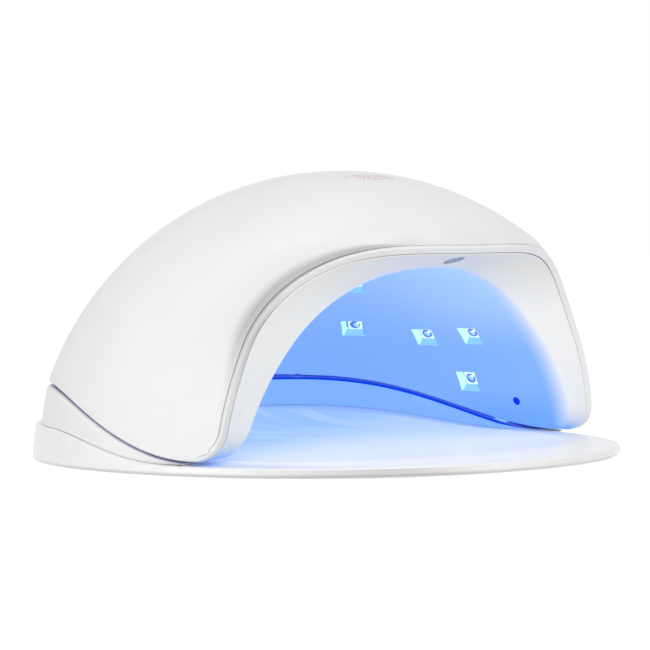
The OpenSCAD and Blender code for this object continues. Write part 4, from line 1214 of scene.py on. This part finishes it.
def flat_ring(r, z, n, at=(0, 0)):
    return np.array([[*at, z]]) if r == 0 else at_level(circle(r, n) + at, z)


def lathe(profile, place_by, n):
    """A closed turned solid from a profile of (radius, z) that starts and ends on the axis."""
    pts, faces = turned([flat_ring(r, z, n) for r, z in profile], n)
    verts = place_by(pts)
    return verts, outward(verts, faces)


PACK_Z, LENS_Z, CUP_R = BOARD_BACK - 1.1, 0.2, 2.1
SPHERE_R = ((PACK_Z - LENS_Z) ** 2 + CUP_R ** 2) / (2 * (PACK_Z - LENS_Z))
CUP = np.array([-0.75, -0.75])
pack, lens, lens_mat = [], [], []
for fr in FRAMES:
    by = in_frame(fr)
    sq = rounded_box(5.6, 5.6, 0.5, 4) + CUP
    pack.append(prism(sq, [PACK_Z + 0.12, PACK_Z + 0.3, BOARD_BACK - 0.01], by, [0.98, 1, 1]))
    # The lens, a lighter chip off its middle, and a white bead of painted glint towards one corner.
    for radius, off, lift, k in ((CUP_R, 0.0, 0.0, 0), (1.35, -0.4, 0.06, 1), (0.65, -1.0, 0.16, 2)):
        at = np.append(CUP + off, 0)
        top = LENS_Z - lift + SPHERE_R * (1 - math.cos(math.asin(min(1, abs(off) * 1.4 / SPHERE_R))))
        profile = [(0, top)]
        for q in np.linspace(0, math.asin(radius / SPHERE_R), 8)[1:]:
            profile.append((SPHERE_R * math.sin(q), top + SPHERE_R * (1 - math.cos(q))))
        profile += [(radius, PACK_Z + 0.1), (0, PACK_Z + 0.1)]
        lens.append(lathe(profile, lambda v: by(v + at), 24))
        lens_mat += [k] * len(lens[-1][1])
detail("led_packages_detail", join_parts(pack), [PACKAGE], "head", "led_package", ["led_packages"])
detail("led_lenses_detail", join_parts(lens), [LENS, LENS_IN, PAINTED_GLINT], "head", "led_lens", ["led_lenses"],
       lens_mat)


# Timer buttons: a dished cap with a rounded edge, its flange and its stem.
def button_mesh(b):
    bx, by = b
    d0 = math.hypot(bx, by)
    flange_r = 6.7
    flange_z = panel_z(d0 + flange_r) - 3 * 1.06 - FIT
    stem_z = -15 + 3.5 + 0.8 + FIT

    def top(r, a):
        x, y = bx + r * np.cos(a), by + r * np.sin(a)
        z = np.sqrt((PANEL_R + 0.8) ** 2 - x * x - y * y) - PANEL_R
        dish = 0.35 * np.maximum(0, 1 - (r / 4.3) ** 2) ** 2
        edge = np.maximum(0, r - 4.7)
        drop = 0.8 - np.sqrt(np.maximum(0, 0.64 - np.minimum(edge, 0.8) ** 2))
        return z - dish - drop
    n = 64
    a = np.linspace(0, 2 * np.pi, n, endpoint=False)
    rings = [np.array([[bx, by, float(top(0.0, 0.0))]])]
    for r in list(np.linspace(0, 4.5, 14))[1:] + [4.7, 4.85, 5.0, 5.15, 5.28, 5.38, 5.45, 5.5]:
        rings.append(np.column_stack([circle(r, n) + b, top(np.full(n, r), a)]))
    for r, z in ((5.5, flange_z), (flange_r, flange_z), (flange_r, flange_z - 1.2), (3.2, flange_z - 1.2),
                 (3.2, stem_z), (1.8, stem_z), (1.8, stem_z + 1.4), (0, stem_z + 1.4)):
        rings.append(flat_ring(r, z, n, b))
    pts, faces = turned(rings, n)
    verts = on_panel(pts)
    return verts, outward(verts, faces), top


# Plain numbers: each digit is a set of short bars laid on a surface.
SEGMENTS = {"a": ((-1, 2), (1, 2)), "b": ((1, 2), (1, 0)), "c": ((1, 0), (1, -2)), "d": ((-1, -2), (1, -2)),
            "e": ((-1, 0), (-1, -2)), "f": ((-1, 2), (-1, 0)), "g": ((-1, 0), (1, 0))}
DIGITS = {"0": "abcdef", "1": "bc", "3": "abcdg", "6": "acdefg", "9": "abcdfg"}


def hexagon_bar(low, high):
    """A closed bar between two like hexagons with pointed ends."""
    pts = np.concatenate([low, high])
    faces = loft_faces(2, 6) + [[0, 1, 2, 3], [0, 3, 4, 5], [9, 8, 7, 6], [11, 10, 9, 6]]
    return pts, outward(pts, faces)


def bar(p, q, width, surface, low, high):
    """A bar with pointed ends between two flat points, from low to high over a surface."""
    p, q = np.array(p, float), np.array(q, float)
    along = (q - p) / np.linalg.norm(q - p)
    side = np.array([-along[1], along[0]]) * width / 2
    p, q = p + along * width * 0.12, q - along * width * 0.12
    cut = along * width / 2
    flat = np.array([p, p + cut + side, q - cut + side, q, q - cut - side, p + cut - side])[::-1]
    z = surface(flat[:, 0], flat[:, 1])
    return hexagon_bar(np.column_stack([flat, z + low]), np.column_stack([flat, z + high]))


def number(text, at, size, width, surface, low, high):
    parts = []
    for k, c in enumerate(text):
        mid = np.array(at) + [(k - (len(text) - 1) / 2) * size * 3.3, 0]
        for s in DIGITS[c]:
            p, q = [mid + np.array(e) * size for e in SEGMENTS[s]]
            parts.append(bar(p, q, width, surface, low, high))
    pts, faces = join_parts(parts)
    return on_panel(pts), faces


for name, b in zip(("10s", "30s", "60s", "99s"), BUTTONS):
    v, f, top = button_mesh(b)
    detail("timer_button_" + name, (v, f), [PINK], "key_" + name, "button_pink", ["button_" + name])

    def cap(x, y, b=b, top=top):
        return top(np.hypot(x - b[0], y - b[1]), np.arctan2(y - b[1], x - b[0]))
    digits = number(name[:2], b, 0.85, 0.5, cap, -0.05, 0.08)
    detail("button_number_" + name, digits, [MARK], "key_" + name, "button_pink")
digits = number("60", DISPLAY, 2.2, 1.1, lambda x, y: panel_z(np.hypot(x, y)), -0.02, 0.06)
detail("display_digits", digits, [DIGIT], "head", "smoked_window")


def top_print():
    """A small printed ornament of short dashes ahead of the crest, without any lettering."""
    along, across = np.array([0.957, -0.29]), np.array([-0.6, -0.8])
    out = []
    lines = ((4.0, 19.0, 1.5), (0.0, 22.0, 1.1), (5.0, 21.0, 1.7), (7.0, 15.0, 0.9))
    for k, (s, end, length) in enumerate(lines):
        n = 0
        while s < end:
            size = length * (1.0, 0.5, 0.75)[n % 3]
            mid = np.array([-19.0, -24.0]) + along * s + across * 2.3 * (k - 1)
            side = np.array([-along[1], along[0]]) * 0.32
            p, q = mid, mid + along * size
            flat = np.array([p - side, q - side, q + along * 0.2, q + side, p + side, p - along * 0.2])
            top = float(crest_z(np.float64(mid[1])))
            base = project(np.column_stack([flat, [top] * 6]), dome_level)
            g = gradient(dome_level, base) * 0.03
            out.append(hexagon_bar(base - g, base + g))
            s += size + 0.9
            n += 1
    return join_parts(out)


detail("crest_ornament", top_print(), [PRINT], "head", "white_shell")


# Finishes of the parts kept from the frame.
# Painted light among these: the bottom ring's seam shade and glow, the liner screws' deep blue glow and the
# LED boards' blue glow.
for name, material in (("tray_feet", RUBBER), ("collar_screws", STEEL), ("base_magnets", NICKEL),
                       ("bottom_ring", DEEP_RING), ("ring_screws", STEEL), ("catch_plates", STEEL),
                       ("liner_screws", PAINTED_DEEP_BLUE), ("led_boards", LED_BOARD), ("sensor_window", SENSOR),
                       ("hand_sensor", GREEN), ("control_board", GREEN), ("board_screws", STEEL),
                       ("display_module", BLACK), ("display_window", SMOKED), ("key_switches", BLACK),
                       ("socket_surround", BLACK), ("socket_barrel", BLACK), ("socket_pin", BRASS)):
    mesh = nodes[name].data
    mesh.materials.clear()
    mesh.materials.append(material)


# Camera, floor and light.
def link(name, data):
    obj = bpy.data.objects.new(name, data)
    bpy.context.scene.collection.objects.link(obj)
    return obj


def camera():
    """The photo's view: a picture of 650 pixels with a focal length of 3149, a little off its middle."""
    picture, focal, off_x, off_y = 650, 3149, -4.0, -1.72
    turn, rise = math.radians(49.3), math.radians(2.085)
    cam = bpy.data.cameras.new("camera")
    cam.sensor_width = 36
    cam.lens = focal / picture * cam.sensor_width
    cam.shift_x, cam.shift_y = off_x / picture, off_y / picture
    cam.clip_start, cam.clip_end = 0.05, 20
    obj = link("camera", cam)
    back = Vector((-math.sin(turn) * math.cos(rise), -math.cos(turn) * math.cos(rise), math.sin(rise)))
    obj.location = (-0.90916, -0.78200, 0.09366)
    obj.rotation_euler = back.to_track_quat("Z", "Y").to_euler()
    bpy.context.scene.camera = obj


def seen_directly(m):
    """1 for rays from the camera, straight, mirrored or let through, and 0 for rays that carry light."""
    path = node(m, "LightPath").outputs
    seen = Field(m, path["Is Camera Ray"]).math("MAXIMUM", path["Is Transmission Ray"])
    return seen.math("MAXIMUM", path["Is Glossy Ray"])


def floor():
    m, s = mat("floor")
    paint(m, s, (0.86, 0.86, 0.86, 1), (1, 1, 1, 1), specular=0.0)
    s.inputs["Roughness"].default_value = 0.9
    wire(m, seen_directly(m) * 0.55, s.inputs["Emission Strength"])
    bm = bmesh.new()
    bmesh.ops.create_grid(bm, x_segments=8, y_segments=8, size=4.0)
    mesh = bpy.data.meshes.new("floor")
    bm.to_mesh(mesh)
    bm.free()
    mesh.materials.append(m)
    link("floor", mesh)


def lamp(name, at, aim, size, power):
    light = bpy.data.lights.new(name, "AREA")
    light.shape, light.size, light.size_y, light.energy = "RECTANGLE", *size, power
    obj = link(name, light)
    obj.location = at
    obj.rotation_euler = (Vector(at) - Vector(aim)).to_track_quat("Z", "Y").to_euler()


def world():
    w = bpy.data.worlds.new("world")
    w.use_nodes = True
    soft = w.node_tree.nodes["Background"]
    soft.inputs[0].default_value = (0.95, 0.945, 0.94, 1)
    soft.inputs[1].default_value = 0.62
    white = node(w, "Background", {0: (1, 1, 1, 1)})
    mixer = node(w, "MixShader", {0: seen_directly(w), 1: soft.outputs[0], 2: white.outputs[0]})
    wire(w, mixer.outputs[0], w.node_tree.nodes["World Output"].inputs["Surface"])
    bpy.context.scene.world = w


camera()
floor()
world()
lamp("key", (-1.15, -1.1, 0.85), (0, 0, 0.05), (1.2, 1.0), 10.0)
lamp("fill", (-1.6, 0.0, 0.4), (0, 0, 0.05), (1.0, 0.8), 3.9)
lamp("front", (0.3, -1.6, 0.35), (0, 0, 0.04), (1.4, 0.5), 3)
lamp("top", (0.3, 0.2, 1.7), (0, 0, 0.05), (1.4, 1.4), 1.5)
bpy.context.scene.view_settings.view_transform = "Standard"
